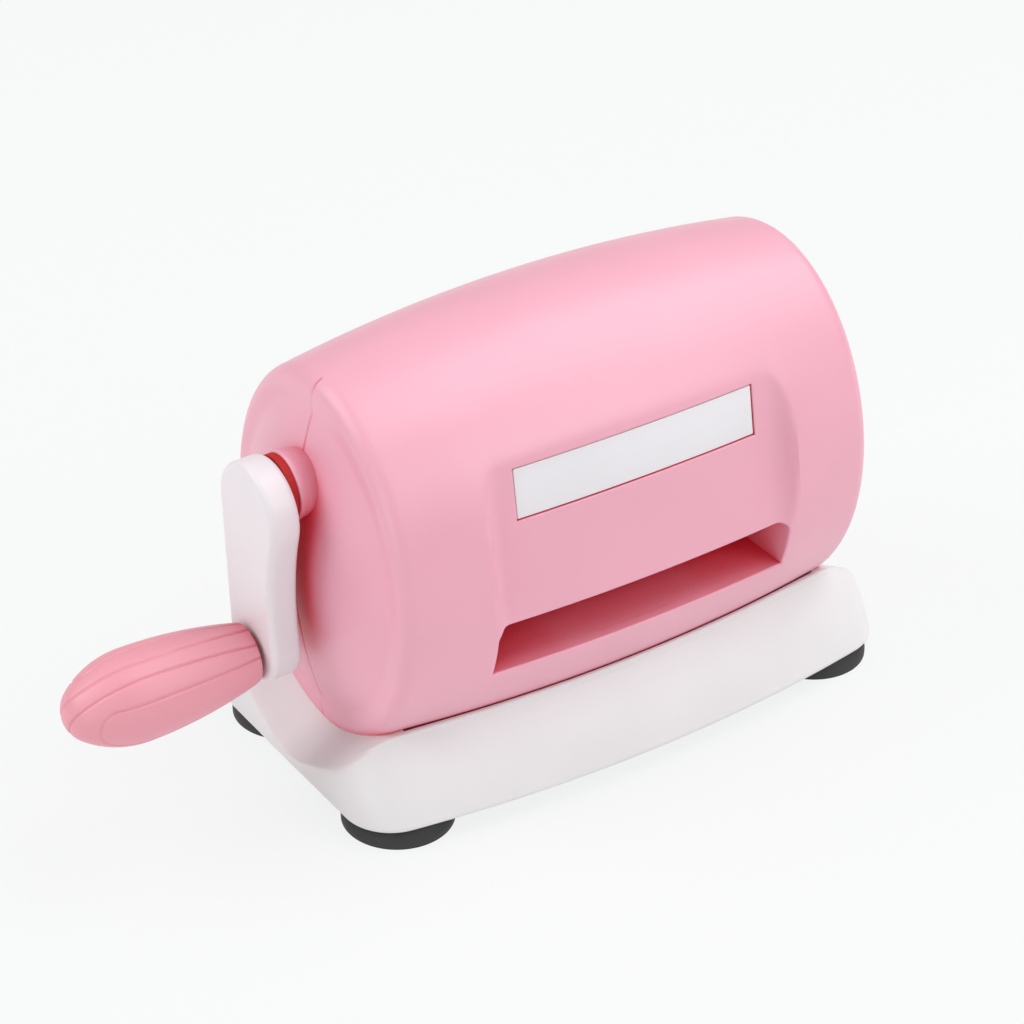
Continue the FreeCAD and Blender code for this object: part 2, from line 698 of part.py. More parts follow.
# Base plate
base_plate = new_body("base_plate")
floor_sketch = new_sketch(base_plate, "XY_Plane", "base_bottom")
inset = "2 * (base_wall + floor_gap)"
bowed_outline(
    floor_sketch,
    f"base_length - {inset} - {lost_length} * floor_thickness",
    f"base_width - {inset} - {lost_width} * floor_thickness",
    "base_corner - base_wall",
)
pad(base_plate, floor_sketch, "floor_thickness")
floor_holes = new_sketch(base_plate, "XY_Plane", "base_bottom")
for corner_name, sx, sy in CORNERS:
    draw_circle(floor_holes, f"{sx} * foot_pitch_long / 2", f"{sy} * foot_pitch_wide / 2", "foot_neck")
    draw_circle(floor_holes, f"{sx} * housing_post_x", f"{sy} * housing_post_y", "hole_radius")
    draw_circle(floor_holes, f"{sx} * base_post_x", f"{sy} * base_post_y", "hole_radius")
    draw_circle(floor_holes, f"{sx} * frame_screw_x", f"{sy} * frame_screw_y", "hole_radius")
pocket(base_plate, floor_holes)

# Suction feet, with necks held in the base plate
for corner_name, sx, sy in CORNERS:
    turned(f"foot_{corner_name}", "Z", [
        ("3.2", "0", "2.4", "foot_radius * 0.45"),
        ("0", "foot_radius * 0.84"),
        ("0", "foot_radius"),
        ("1.2", "foot_radius", "base_bottom * 0.62", "foot_radius * 0.95"),
        ("base_bottom", "foot_radius * 0.82"),
        ("base_bottom", "foot_neck"),
        ("floor_height", "foot_neck"),
        ("floor_height", "foot_head"),
        ("floor_height + 1", "foot_head"),
        ("floor_height + 3", "foot_neck - 1"),
        ("floor_height + 3", "0"),
    ], f"{sx} * foot_pitch_long / 2", f"{sy} * foot_pitch_wide / 2")

# Side plates with a foot bent inwards
for side_name, sx in SIDES:
    plate = new_body(f"{side_name}_side_plate")
    profile = new_sketch(plate, "XZ_Plane")
    draw(profile, [
        (f"{sx} * plate_outer", "floor_height"),
        (f"{sx} * (plate_inner - flange_length)", "floor_height"),
        (f"{sx} * (plate_inner - flange_length)", "floor_height + plate_thickness"),
        (f"{sx} * plate_inner", "floor_height + plate_thickness"),
        (f"{sx} * plate_inner", "plate_top"),
        (f"{sx} * plate_outer", "plate_top"),
    ])
    pad(plate, profile, "plate_width", middle=True)
    bores = new_sketch(plate, "YZ_Plane")
    draw_circle(bores, "0", "upper_axis", "bush_radius")
    draw_circle(bores, "0", "lower_axis", "bush_radius")
    if side_name == "left":
        draw_circle(bores, "0", "crank_axis", "bush_radius")
    for level in ("upper", "lower"):
        for end, sy in ENDS:
            draw_circle(bores, f"{sy} * {level}_bar_offset", f"{level}_bar_height", "hole_radius")
    pocket(plate, bores)
    taps = new_sketch(plate, "XY_Plane")
    for end, sy in ENDS:
        draw_circle(taps, f"{sx} * frame_screw_x", f"{sy} * frame_screw_y", "screw_radius")
    pocket(plate, taps)


# Screws
def screw(name, axis, seat, sign, length, x="0", y="0", z="0"):
    """A pan head screw; its head stands on the seat and the shank runs towards sign along the axis."""
    low, high = (seat, f"{seat} + {length}") if sign > 0 else (f"{seat} - {length}", seat)
    shank = rod(f"{name}_shank", axis, low, high, "screw_radius", x, y, z)
    thickness = "screw_head_height"
    low, high = (f"{seat} - {thickness}", seat) if sign > 0 else (seat, f"{seat} + {thickness}")
    head = rod(f"{name}_head", axis, low, high, "screw_head_radius", x, y, z)
    socket_low, socket_high = (low, f"{low} + 1") if sign > 0 else (f"{high} - 1", high)
    socket = rod(f"{name}_socket", axis, socket_low, socket_high, "screw_radius - 0.2", x, y, z)
    return cut(name, fuse(f"{name}_blank", shank, head), socket)


def floor_screws(name, x, y):
    """Four screws up through the base plate."""
    pieces = []
    for corner_name, sx, sy in CORNERS:
        spot = (f"{sx} * {x}", f"{sy} * {y}")
        pieces.append(screw(f"{name}_{corner_name}", "Z", "base_bottom", 1, "floor_screw_length", *spot))
    group(name, pieces)


floor_screws("housing_screws", "housing_post_x", "housing_post_y")
floor_screws("base_screws", "base_post_x", "base_post_y")
floor_screws("frame_screws", "frame_screw_x", "frame_screw_y")
shell_screw_set = []
for side_name, sx in SIDES:
    for level in ("upper", "lower"):
        shell_screw_set.append(screw(
            f"shell_screw_{level}_{side_name}", "Y", "shell_screw_seat", -1, "shell_screw_length",
            x=f"{sx} * {level}_post_x", z=f"{level}_post_z",
        ))
group("shell_screws", shell_screw_set)

# Tie bars and their screws
bar_screws = []
for level in ("upper", "lower"):
    for end, sy in ENDS:
        spot = {"y": f"{sy} * {level}_bar_offset", "z": f"{level}_bar_height"}
        bar = rod(f"{level}_{end}_bar", "X", "-plate_inner", "plate_inner", "tie_bar_radius", **spot)
        taps = []
        for side_name, sx in SIDES:
            depth = ("plate_inner - 9", "plate_inner")
            if sx == "-1":
                depth = ("-plate_inner", "-plate_inner + 9")
            taps.append(rod(f"{level}_{end}_{side_name}_tap", "X", *depth, "screw_radius", **spot))
            bar_screws.append(screw(
                f"bar_screw_{level}_{end}_{side_name}", "X", f"{sx} * plate_outer",
                1 if sx == "-1" else -1, "8", **spot,
            ))
        cut(f"{level}_{end}_tie_bar", bar, *taps)
group("tie_bar_screws", bar_screws)


# Shafts carry a flat that faces the rear
def flat(body, start, stop):
    """Mill the flat on a shaft between two places along it."""
    sketch = new_sketch(body, "XY_Plane")
    draw(sketch, [
        (start, "shaft_flat"),
        (stop, "shaft_flat"),
        (stop, "shaft_radius + 1"),
        (start, "shaft_radius + 1"),
    ])
    pocket(body, sketch)


clip_gap = "0.1"
for level in ("upper", "lower"):
    far_clip = "bush_outer + end_play"
    near_clip = f"gear_end + {clip_gap}"
    roller = turned(f"{level}_roller", "X", [
        (f"-({near_clip} + clip_thickness + 1)", "0"),
        (f"-({near_clip} + clip_thickness + 1)", "shaft_radius"),
        (f"-({near_clip} + clip_thickness)", "shaft_radius"),
        (f"-({near_clip} + clip_thickness)", "groove_radius"),
        (f"-({near_clip})", "groove_radius"),
        (f"-({near_clip})", "shaft_radius"),
        ("-bush_inner + end_play", "shaft_radius"),
        ("-bush_inner + end_play", "roller_radius"),
        ("bush_inner - end_play", "roller_radius"),
        ("bush_inner - end_play", "shaft_radius"),
        (far_clip, "shaft_radius"),
        (far_clip, "groove_radius"),
        (f"{far_clip} + clip_thickness", "groove_radius"),
        (f"{far_clip} + clip_thickness", "shaft_radius"),
        (f"{far_clip} + clip_thickness + 1", "shaft_radius"),
        (f"{far_clip} + clip_thickness + 1", "0"),
    ], z=f"{level}_axis")
    flat(roller, "-gear_end", "-gear_start")
    clips = []
    for name, start in (("gear", f"-({near_clip} + clip_thickness)"), ("far", far_clip)):
        stop = f"{start} + clip_thickness"
        clips.append(ring(f"{level}_{name}_clip", "X", start, stop, "groove_radius", "clip_radius",
                          z=f"{level}_axis"))
    group(f"{level}_roller_clips", clips)

# Bushes
def flanged_bush(label, sx, z):
    bore = "shaft_radius + running_fit"
    return turned(label, "X", [
        (f"{sx} * bush_inner", bore),
        (f"{sx} * bush_inner", "bush_flange"),
        (f"{sx} * plate_inner", "bush_flange"),
        (f"{sx} * plate_inner", "bush_radius"),
        (f"{sx} * bush_outer", "bush_radius"),
        (f"{sx} * bush_outer", bore),
    ], z=z)


for side_name, sx in SIDES:
    for level in ("upper", "lower"):
        flanged_bush(f"{level}_{side_name}_bush", sx, f"{level}_axis")
flanged_bush("crank_inner_bush", "-1", "crank_axis")
ring(
    "crank_outer_bush", "X", "-boss_face", "-rim_x + shell_wall",
    "shaft_radius + running_fit", "bush_radius", z="crank_axis",
)


# Gears: involute teeth on a bore with a flat
def tooth_edges(teeth, phase):
    """The outline of a spur gear, one tooth centred at the phase angle."""
    module = number("gear_module")
    pitch = module * teeth / 2
    foot = pitch * math.cos(math.radians(20))
    tip, root = pitch + 0.9 * module, pitch - 1.25 * module
    play = 0.06 * module / pitch

    def half_angle(radius):
        turn = math.acos(foot / radius)
        start = math.tan(math.radians(20)) - math.radians(20)
        return math.pi / (2 * teeth) - play + start - (math.tan(turn) - turn)

    def at(radius, angle):
        return Vec(0, radius * math.cos(angle), radius * math.sin(angle))

    low = max(foot, root)
    middle = (low + tip) / 2
    wide = half_angle(low)
    step = 2 * math.pi / teeth
    edges = []
    for i in range(teeth):
        centre = phase + i * step
        left = [at(root, centre - wide), at(low, centre - wide)]
        right = [at(low, centre + wide), at(root, centre + wide)]
        edges.append(Part.LineSegment(left[0], left[1]))
        rise = at(middle, centre - half_angle(middle))
        edges.append(Part.Arc(left[1], rise, at(tip, centre - half_angle(tip))))
        edges.append(Part.Arc(edges[-1].EndPoint, at(tip, centre), at(tip, centre + half_angle(tip))))
        edges.append(Part.Arc(edges[-1].EndPoint, at(middle, centre + half_angle(middle)), right[0]))
        edges.append(Part.LineSegment(right[0], right[1]))
        edges.append(Part.Arc(right[1], at(root, centre + step / 2), at(root, centre + step - wide)))
    return [edge.toShape() for edge in edges]


def gear(label, teeth, phase, z):
    """A gear on the left ends of the shafts; teeth is the name of a size."""
    outline = Part.Wire(tooth_edges(int(number(teeth)), phase))
    radius, level = number("shaft_radius"), number("shaft_flat")
    half_chord = math.sqrt(radius ** 2 - level ** 2)
    bow = Part.Arc(Vec(0, level, half_chord), Vec(0, -radius, 0), Vec(0, level, -half_chord))
    chord = Part.LineSegment(bow.EndPoint, bow.StartPoint)
    bore = Part.Wire([bow.toShape(), chord.toShape()])
    face = Part.Face(outline).cut(Part.Face(bore))
    item = doc.addObject("Part::Feature", label)
    item.Shape = face.extrude(Vec(number("gear_width"), 0, 0)).Solids[0]
    place(item, "-gear_end", "0", z)
    return item


up = math.pi / 2
gear("crank_pinion", "pinion_teeth", -up + math.pi / number("pinion_teeth"), "crank_axis")
gear("upper_gear", "gear_teeth", up, "upper_axis")
gear("lower_gear", "gear_teeth", up + math.pi / number("gear_teeth"), "lower_axis")

# Crank shaft, its clip, the thrust washer and the arm
shaft_tip = "arm_inner + arm_socket"
clip_at = "bush_inner - end_play - clip_thickness"
crank_shaft = turned("crank_shaft", "X", [
    (f"-({shaft_tip})", "0"),
    (f"-({shaft_tip})", "shaft_radius"),
    (f"-({clip_at} + clip_thickness)", "shaft_radius"),
    (f"-({clip_at} + clip_thickness)", "groove_radius"),
    (f"-({clip_at})", "groove_radius"),
    (f"-({clip_at})", "shaft_radius"),
    (f"-({clip_at} - 1)", "shaft_radius"),
    (f"-({clip_at} - 1)", "0"),
], z="crank_axis")
flat(crank_shaft, "-gear_end", "-gear_start")
flat(crank_shaft, f"-({shaft_tip})", "-arm_inner")
ring("crank_clip", "X", f"-({clip_at} + clip_thickness)", f"-({clip_at})", "groove_radius", "clip_radius",
     z="crank_axis")
ring(
    "thrust_washer", "X", "-arm_inner", "-boss_face - 0.1",
    "shaft_radius + running_fit", "washer_radius", z="crank_axis",
)

crank_arm = new_body("crank_arm", z="crank_axis")
arm_sketch = new_sketch(crank_arm, "YZ_Plane", "-arm_outer")
hub = number("arm_hub_radius")
end = number("arm_end_radius")
waist = number("arm_waist_radius")
drop = Vec(0, -number("arm_hub_drop"), 0)
span = number("crank_throw - arm_hub_drop - arm_end_rise")
lean = (end - hub) / span
rear = Vec(math.sqrt(1 - lean ** 2), lean, 0)
waist_drop = ((waist + hub) ** 2 - (waist + end) ** 2 + span ** 2) / (2 * span)
waist_centre = Vec(-math.sqrt((waist + hub) ** 2 - waist_drop ** 2), -waist_drop, 0)
low = Vec(0, -span, 0)
hub_rear, end_rear = rear * hub, low + rear * end
hub_front = waist_centre * (hub / (waist + hub))
end_front = low + (waist_centre - low) * (end / (waist + end))
waist_middle = waist_centre + Vec(waist, 0, 0) + drop
hub_top, end_bottom = Vec(0, hub, 0) + drop, low - Vec(0, end, 0) + drop
hub_rear, hub_front, end_front, end_rear = [p + drop for p in (hub_rear, hub_front, end_front, end_rear)]
arm_edges = [
    arm_sketch.addGeometry(Part.Arc(hub_rear, hub_top, hub_front)),
    arm_sketch.addGeometry(Part.Arc(hub_front, waist_middle, end_front)),
    arm_sketch.addGeometry(Part.Arc(end_front, end_bottom, end_rear)),
    arm_sketch.addGeometry(Part.LineSegment(end_rear, hub_rear)),
]
for i, point in enumerate((hub_front, end_front, end_rear, hub_rear)):
    one, other = arm_edges[i], arm_edges[(i + 1) % 4]
    spots = [1 if arm_sketch.getPoint(s, 1).distanceToPoint(point) < 1e-6 else 2 for s in (one, other)]
    arm_sketch.addConstraint(Sketcher.Constraint("Tangent", one, spots[0], other, spots[1]))
pin(arm_sketch, arm_edges[0], 3, "0", "-arm_hub_drop")
pin(arm_sketch, arm_edges[2], 3, "0", "arm_end_rise - crank_throw")
for shape, text in zip(arm_edges, ("arm_hub_radius", "arm_waist_radius", "arm_end_radius")):
    datum(arm_sketch, Sketcher.Constraint("Radius", shape, number(text)), text)
arm_pad = pad(crank_arm, arm_sketch, "arm_thickness")
doc.recompute()
arm_rims = [
    f"Edge{i}" for i, line in enumerate(arm_pad.Shape.Edges, start=1) if line.BoundBox.XLength < 1e-6
]
arm_rounding = crank_arm.newObject("PartDesign::Fillet", "crank_arm_rounding")
arm_rounding.Base = (arm_pad, arm_rims)
arm_rounding.setExpression("Radius", bound("arm_round"))
socket = new_sketch(crank_arm, "YZ_Plane", "-arm_inner")
chord = "sqrt(shaft_radius ^ 2 - shaft_flat ^ 2)"
draw(socket, [("shaft_flat", chord, "-shaft_radius", "0"), ("shaft_flat", f"-{chord}")])
pocket(crank_arm, socket, "arm_socket")
spindle_hole = new_sketch(crank_arm, "YZ_Plane", "-arm_outer")
draw_circle(spindle_hole, "0", "-crank_throw", "spindle_radius")
pocket(crank_arm, spindle_hole, "arm_socket", reverse=True)
grub_hole = new_sketch(crank_arm, "XZ_Plane")
draw_circle(grub_hole, "-arm_inner - arm_socket / 2", "0", "grub_radius")
pocket(crank_arm, grub_hole, "arm_hub_radius + 1", reverse=False)
rod("arm_grub_screw", "Y", "shaft_flat", "shaft_flat + grub_length", "grub_radius",
    x="-arm_inner - arm_socket / 2", z="crank_axis")

# Grip: two halves closed round the head of the spindle
grip_axis = "crank_axis - crank_throw"
head_end = "-(arm_outer + spindle_reach)"
neck = f"{head_end} + spindle_head"
turned("grip_spindle", "X", [
    (head_end, "0"),
    (head_end, "spindle_head_radius"),
    (neck, "spindle_head_radius"),
    (neck, "spindle_radius"),
    ("-arm_outer + arm_socket", "spindle_radius"),
    ("-arm_outer + arm_socket", "0"),
], z=grip_axis)


def grip_outline(sketch, inset, hollow):
    """Half section of the grip, its three arcs joined smoothly; hollow leaves room for the spindle."""
    start, tip = "-grip_start", "-grip_start - grip_length"
    belly = "-grip_start - grip_belly"
    radius = f"(grip_radius - {inset})"
    end_radius = f"(grip_end_radius - {inset})"
    tip_radius = f"(grip_tip_radius - {inset})"
    last = f"({tip} + {inset})"
    x0, x1, x2 = number(start), number(belly), number(last)
    r0, r1, r2 = number(end_radius), number(radius), number(tip_radius)
    long = ((x0 - x1) ** 2 + (r1 - r0) ** 2) / (2 * (r1 - r0))
    slope = Vec(x0 - x1, r0 - r1 + long, 0)
    half = (slope + Vec(0, long, 0)).normalize() * long + Vec(x1, r1 - long, 0)
    run = x1 - (x2 + r2)
    big = (run ** 2 + r1 ** 2 - r2 ** 2) / (2 * (r1 - r2))
    away = Vec(-run, big - r1, 0).normalize()
    join = Vec(x2 + r2, 0, 0) + away * r2
    bend = Vec(x1, r1 - big, 0) + (away + Vec(0, 1, 0)).normalize() * big
    cap = Vec(x2 + r2, 0, 0) + (away + Vec(-1, 0, 0)).normalize() * r2
    first, crest, nose = Vec(x0, r0, 0), Vec(x1, r1, 0), Vec(x2, 0, 0)
    arcs = [
        sketch.addGeometry(Part.Arc(first, half, crest)),
        sketch.addGeometry(Part.Arc(crest, bend, join)),
        sketch.addGeometry(Part.Arc(join, cap, nose)),
    ]

    def spot(shape, point):
        return 1 if sketch.getPoint(shape, 1).distanceToPoint(point) < 1e-6 else 2

    for one, other, point in ((arcs[0], arcs[1], crest), (arcs[1], arcs[2], join)):
        joined = Sketcher.Constraint("Tangent", one, spot(one, point), other, spot(other, point))
        sketch.addConstraint(joined)
    pin(sketch, arcs[0], spot(arcs[0], first), start, end_radius)
    pin(sketch, arcs[0], spot(arcs[0], crest), belly, radius)
    datum(sketch, Sketcher.Constraint("DistanceX", -1, 1, arcs[0], 3, x1), belly)
    pin(sketch, arcs[2], 3, f"{last} + {tip_radius}", "0")
    pin(sketch, arcs[2], spot(arcs[2], nose), last, "0")
    corners = [(last, "0"), (start, "0")]
    if hollow:
        wide = "spindle_head_radius + 0.3"
        corners = [
            (last, "0"),
            (f"{head_end} - end_play", "0"),
            (f"{head_end} - end_play", wide),
            (f"{neck} + end_play", wide),
            (f"{neck} + end_play", "spindle_radius + running_fit"),
            (start, "spindle_radius + running_fit"),
        ]
    corners.append((start, end_radius))
    places = [Vec(number(x), number(y), 0) for x, y in corners]
    previous = (arcs[2], spot(arcs[2], nose))
    for i in range(len(corners) - 1):
        line = sketch.addGeometry(Part.LineSegment(places[i], places[i + 1]))
        if i:
            pin(sketch, line, 1, *corners[i])
        sketch.addConstraint(Sketcher.Constraint("Coincident", *previous, line, 1))
        previous = (line, 2)
    sketch.addConstraint(Sketcher.Constraint("Coincident", *previous, arcs[0], spot(arcs[0], first)))


def grip_body(name, inset, hollow, angle, reverse):
    body = new_body(name, z=grip_axis, turn="grip_seam_angle")
    sketch = new_sketch(body, "XZ_Plane")
    grip_outline(sketch, inset, hollow)
    feature = body.newObject("PartDesign::Revolution", name + "_turned")
    feature.Profile = sketch
    feature.ReferenceAxis = (sketch, ["H_Axis"])
    feature.Angle = angle
    feature.Reversed = reverse
    return body


grip_core = grip_body("grip_core", "grip_groove", False, 360, False)
for name, reverse, sign in (("front", False, -1), ("rear", True, 1)):
    half = grip_body(f"grip_{name}_blank", "0", True, 180, reverse)
    slab = doc.addObject("Part::Box", f"grip_{name}_slab")
    slab.setExpression("Length", bound("grip_length + 10"))
    slab.setExpression("Width", bound("grip_groove"))
    slab.setExpression("Height", bound("4 * grip_radius"))
    spread = FreeCAD.Rotation(Vec(0, 0, 1), 180 + sign * number("grip_groove_slope"))
    tilt = FreeCAD.Rotation(Vec(1, 0, 0), number("grip_seam_angle"))
    offset = sign * number("grip_groove_offset")
    corner = Vec(-number("grip_start") + 2, offset, -2 * number("grip_radius"))
    slab.Placement = FreeCAD.Placement(
        tilt.multVec(corner) + Vec(0, 0, number(grip_axis)),
        tilt.multiply(spread),
    )
    cut(f"grip_{name}_half", half, cut(f"grip_{name}_groove", slab, grip_core))

# Build, check and write every piece
doc.recompute()
NODES = [
    "front_shell", "rear_shell", "label_plate", "base", "base_plate",
    "foot_front_left", "foot_front_right", "foot_rear_left", "foot_rear_right",
    "left_side_plate", "right_side_plate",
    "upper_front_tie_bar", "upper_rear_tie_bar", "lower_front_tie_bar", "lower_rear_tie_bar",
    "tie_bar_screws", "frame_screws", "base_screws", "housing_screws", "shell_screws",
    "upper_roller", "lower_roller", "upper_gear", "lower_gear", "upper_roller_clips", "lower_roller_clips",
    "upper_left_bush", "upper_right_bush", "lower_left_bush", "lower_right_bush",
    "crank_shaft", "crank_pinion", "crank_clip", "crank_inner_bush", "crank_outer_bush",
    "thrust_washer", "crank_arm", "arm_grub_screw",
    "grip_spindle", "grip_front_half", "grip_rear_half",
]
for item in doc.Objects:
    if "Invalid" in item.State or "Error" in item.State:
        raise RuntimeError("not built: " + item.Label)
for label in NODES:
    shape = doc.getObjectsByLabel(label)[0].Shape
    if shape.isNull() or not shape.isValid() or not shape.Solids:
        raise RuntimeError("bad shape: " + label)
    shape.exportStep(f"parts/{label}.step")
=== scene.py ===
import bmesh
import bpy
import json
import math
from mathutils import Matrix, Vector


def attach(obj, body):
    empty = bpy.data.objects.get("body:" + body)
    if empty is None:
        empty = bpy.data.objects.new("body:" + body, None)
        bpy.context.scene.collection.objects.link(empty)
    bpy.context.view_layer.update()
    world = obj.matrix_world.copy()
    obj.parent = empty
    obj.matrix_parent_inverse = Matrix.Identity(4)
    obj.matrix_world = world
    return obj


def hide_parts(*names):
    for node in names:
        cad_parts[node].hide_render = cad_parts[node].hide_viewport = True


# Hand-cranked die cutting machine. Pieces are drawn in millimetres and settled in metres.
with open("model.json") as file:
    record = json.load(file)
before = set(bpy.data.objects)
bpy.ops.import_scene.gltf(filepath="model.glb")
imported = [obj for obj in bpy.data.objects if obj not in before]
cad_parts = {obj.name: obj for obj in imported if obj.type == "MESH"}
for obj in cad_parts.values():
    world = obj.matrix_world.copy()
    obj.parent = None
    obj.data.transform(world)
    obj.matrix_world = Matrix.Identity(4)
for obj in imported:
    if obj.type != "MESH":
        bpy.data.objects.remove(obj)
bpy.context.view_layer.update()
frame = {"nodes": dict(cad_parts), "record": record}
MM = 0.001
SHARP = math.radians(40)
ABOUT_X = (1, 0, 0)
ABOUT_Y = (0, 1, 0)
ABOUT_Z = (0, 0, 1)
WINDOW_MARGIN = 6.0

# Sizes of the barrel, as the frame has them
RIM = 67.5
HALF_HEIGHT = 54.0
HALF_DEPTH = 43.2
AXIS = 61.6
DROP = 5.5
RIM_ROUND = 4.8
CREASE = HALF_HEIGHT - DROP - 8.0
DOME = 6.5
WALL = 2.4
SKIRT = 13.6
SEAM_WIDTH = 0.4
SEAM_DEPTH = 0.6
SEAM_REACH = 3.0
END_REACH = 5.0
CENTRE_REACH = 12.0

# Feed slot, front panel and label plate
SLOT_SIDE = 42.4
SLOT_FLOOR = 40.3
SLOT_TOP = 54.1
SLOT_CORNER = 3.0
SLOT_DEPTH = 13.0
SLOT_ROUND = 0.6
PANEL_DEPTH = 41.0
PANEL_BOW = 518.0
PANEL_TILT = math.radians(9.5)
PANEL_SIDE = 43.6
PANEL_HOLLOW = 5.0
PANEL_START = 10.0
EDGE_BREAK = 0.7
LABEL_LENGTH = 67.9
LABEL_HEIGHT = 12.8
LABEL_RISE = 32.5
LABEL_GAP = 0.25
LABEL_SINK = 0.4
LABEL_THICKNESS = 1.2
LABEL_ROUND = 0.3
LABEL_SLICES = 24

# Crank boss
CRANK_AXIS = 85.0
BOSS_FACE = 76.2
BOSS_RADIUS = 8.8
BOSS_ROOT = 7.6
BOSS_ROUND = 0.7
BOSS_LINING = 3.0
BOSS_BURIED = 2.0
BORE = 6.0

# Screw seats in the rear shell
SEAT_RADIUS = 3.0
SEAT_DEPTH = 12.0
SEAT_BREAK = 0.2
SEAT_SIDES = 24
SEATS = ((-40, 97), (40, 97), (-62, 46), (62, 46))

# Base
BASE_BOTTOM = 5.0
BASE_TOP = 25.2
BASE_LENGTH = 155.0
BASE_WIDTH = 90.2
BASE_CORNER = 13.0
BASE_BOW = 395.0
BASE_TOP_LENGTH = 152.0
BASE_TOP_WIDTH = 67.0
BASE_TOP_CORNER = 15.0
BASE_BULGE = 1.1
BASE_LIP = 1.0
BASE_WALL = 2.2
DECK_END = 61.0
DECK_GAP = 0.35
TRENCH = 3.0
RIDGE_BREAK = 2.0
WALL_STEPS = 24
DECK_STEPS = 16
LIP_STEPS = 6
FOOT_STEPS = 4
SADDLE_SIDE = 34.0
SADDLE_BEND = 8.0
SADDLE_RISE = 1.7
SADDLE_NEAR = (65.4, 14.8, 28.4)
SADDLE_FAR = (80.0, 7.6, 21.3)

# Grip: its section, the band round it and a finger panel on each side
GRIP_AXIS = 42.0
GRIP_START = 87.5
GRIP_EDGE = 0.5
GRIP_BORE = 3.2
GRIP_BORE_DEPTH = 3.0
GRIP_BELLY = 118.0
GRIP_RADIUS = 11.5
GRIP_END_RADIUS = 7.6
GRIP_TIP = 136.2
GRIP_TIP_RADIUS = 8.0
BAND_TURN = math.radians(27)
BAND_SIDE = 2.2
FINGER_MIDDLE = math.radians(72)
FINGER_SIDE = math.radians(32)
FINGER_END = 125.0
FINGER_RADIUS = 10.4
LINE_WIDTH = 0.32
LINE_DEPTH = 0.4

# Painted shade in hollows, a deeper colour mixed in by ambient occlusion: how far nearby surfaces are
# felt, and how quickly the painted shade fills in
PAINTED_SHADE_REACH = 24 * MM
PAINTED_SHADE_GAIN = 2.0
PAINTED_SHADE_START = 0.6

# Share of the floor that glows as white paper to the camera
FLOOR_GLOW = 0.86


# Shader maths
class Value:
    """A number that changes over a surface; arithmetic on it adds Math nodes."""

    def __init__(self, finish, socket):
        self.finish = finish
        self.socket = socket

    def maths(self, operation, left, right):
        node = self.finish.node("ShaderNodeMath", {"operation": operation}, {0: left, 1: right})
        return Value(self.finish, node.outputs[0])

    def __add__(self, other):
        return self.maths("ADD", self, other)

    def __sub__(self, other):
        return self.maths("SUBTRACT", self, other)

    def __rsub__(self, other):
        return self.maths("SUBTRACT", other, self)

    def __mul__(self, other):
        return self.maths("MULTIPLY", self, other)

    __radd__ = __add__
    __rmul__ = __mul__


class Finish:
    """A material under construction."""

    def __init__(self, name, **shader):
        self.material = bpy.data.materials.new(name)
        self.material.use_nodes = True
        self.tree = self.material.node_tree
        self.shader = self.tree.nodes["Principled BSDF"]
        for socket, value in shader.items():
            self.shader.inputs[socket.replace("_", " ")].default_value = value
        self.coordinates = self.node("ShaderNodeTexCoord").outputs["Object"]

    def node(self, kind, settings=None, inputs=None):
        """Add a node, set it up and fill its sockets with values or links."""
        node = self.tree.nodes.new(kind)
        for key, value in (settings or {}).items():
            setattr(node, key, value)
        for key, value in (inputs or {}).items():
            self.put(node.inputs[key], value)
        return node

    def put(self, socket, value):
        if isinstance(value, Value):
            value = value.socket
        if isinstance(value, bpy.types.NodeSocket):
            self.tree.links.new(value, socket)
        else:
            socket.default_value = value

    def feed(self, name, value):
        self.put(self.shader.inputs[name], value)

    def stretched(self, x, y, z):
        """Object coordinates scaled along each axis."""
        node = self.node("ShaderNodeMapping", None, {"Vector": self.coordinates, "Scale": (x, y, z)})
        return node.outputs[0]

    def noise(self, scale, detail=2.0, vector=None):
        node = self.node(
            "ShaderNodeTexNoise", None,
            {"Vector": vector or self.coordinates, "Scale": scale, "Detail": detail},
        )
        return Value(self, node.outputs["Fac"])

    def blend(self, factor, first, second):
        """A colour between two colours."""
        node = self.node(
            "ShaderNodeMix", {"data_type": "RGBA"},
            {"Factor": factor, 6: first, 7: second},
        )
        return node.outputs[2]

    def bump(self, height, strength, distance):
        node = self.node(
            "ShaderNodeBump", None,
            {"Height": height, "Strength": strength, "Distance": distance},
        )
        self.feed("Normal", node.outputs[0])


def shade(red, green, blue, level=1.0):
    """A colour read as 0 to 255, in linear light."""
    linear = []
    for part in (red, green, blue):
        part = min(part * level / 255, 1)
        linear.append(part / 12.92 if part <= 0.04045 else ((part + 0.055) / 1.055) ** 2.4)
    return (*linear, 1)


def moulded(name, colour, roughness, grain=0.06, coat=0.0, deep=None):
    """Moulded plastic with flow clouds, uneven gloss and fine grain; hollows can take painted shade, a
    deeper colour mixed in by ambient occlusion.
    """
    finish = Finish(name, IOR=1.5, Coat_Weight=coat, Coat_Roughness=0.35)
    flow = finish.noise(35, 3)
    skin = finish.blend(flow, shade(*colour, 0.975), shade(*colour, 1.02))
    # Painted shade: wherever ambient occlusion finds nearby surfaces, the deep colour is mixed into the
    # base colour
    if deep:
        hollow = finish.node("ShaderNodeAmbientOcclusion", {"samples": 6}, {"Distance": PAINTED_SHADE_REACH})
        painted_shade_mask = 1.0 - Value(finish, hollow.outputs["AO"])
        skin = finish.blend(painted_shade_mask * PAINTED_SHADE_GAIN - PAINTED_SHADE_START, skin, shade(*deep))
    finish.feed("Base Color", skin)
    smear = finish.noise(90, 4)
    finish.feed("Roughness", roughness - 0.06 + smear * 0.12)
    pebble = finish.noise(2600, 2)
    finish.bump(pebble, grain, 0.0001)
    return finish.material


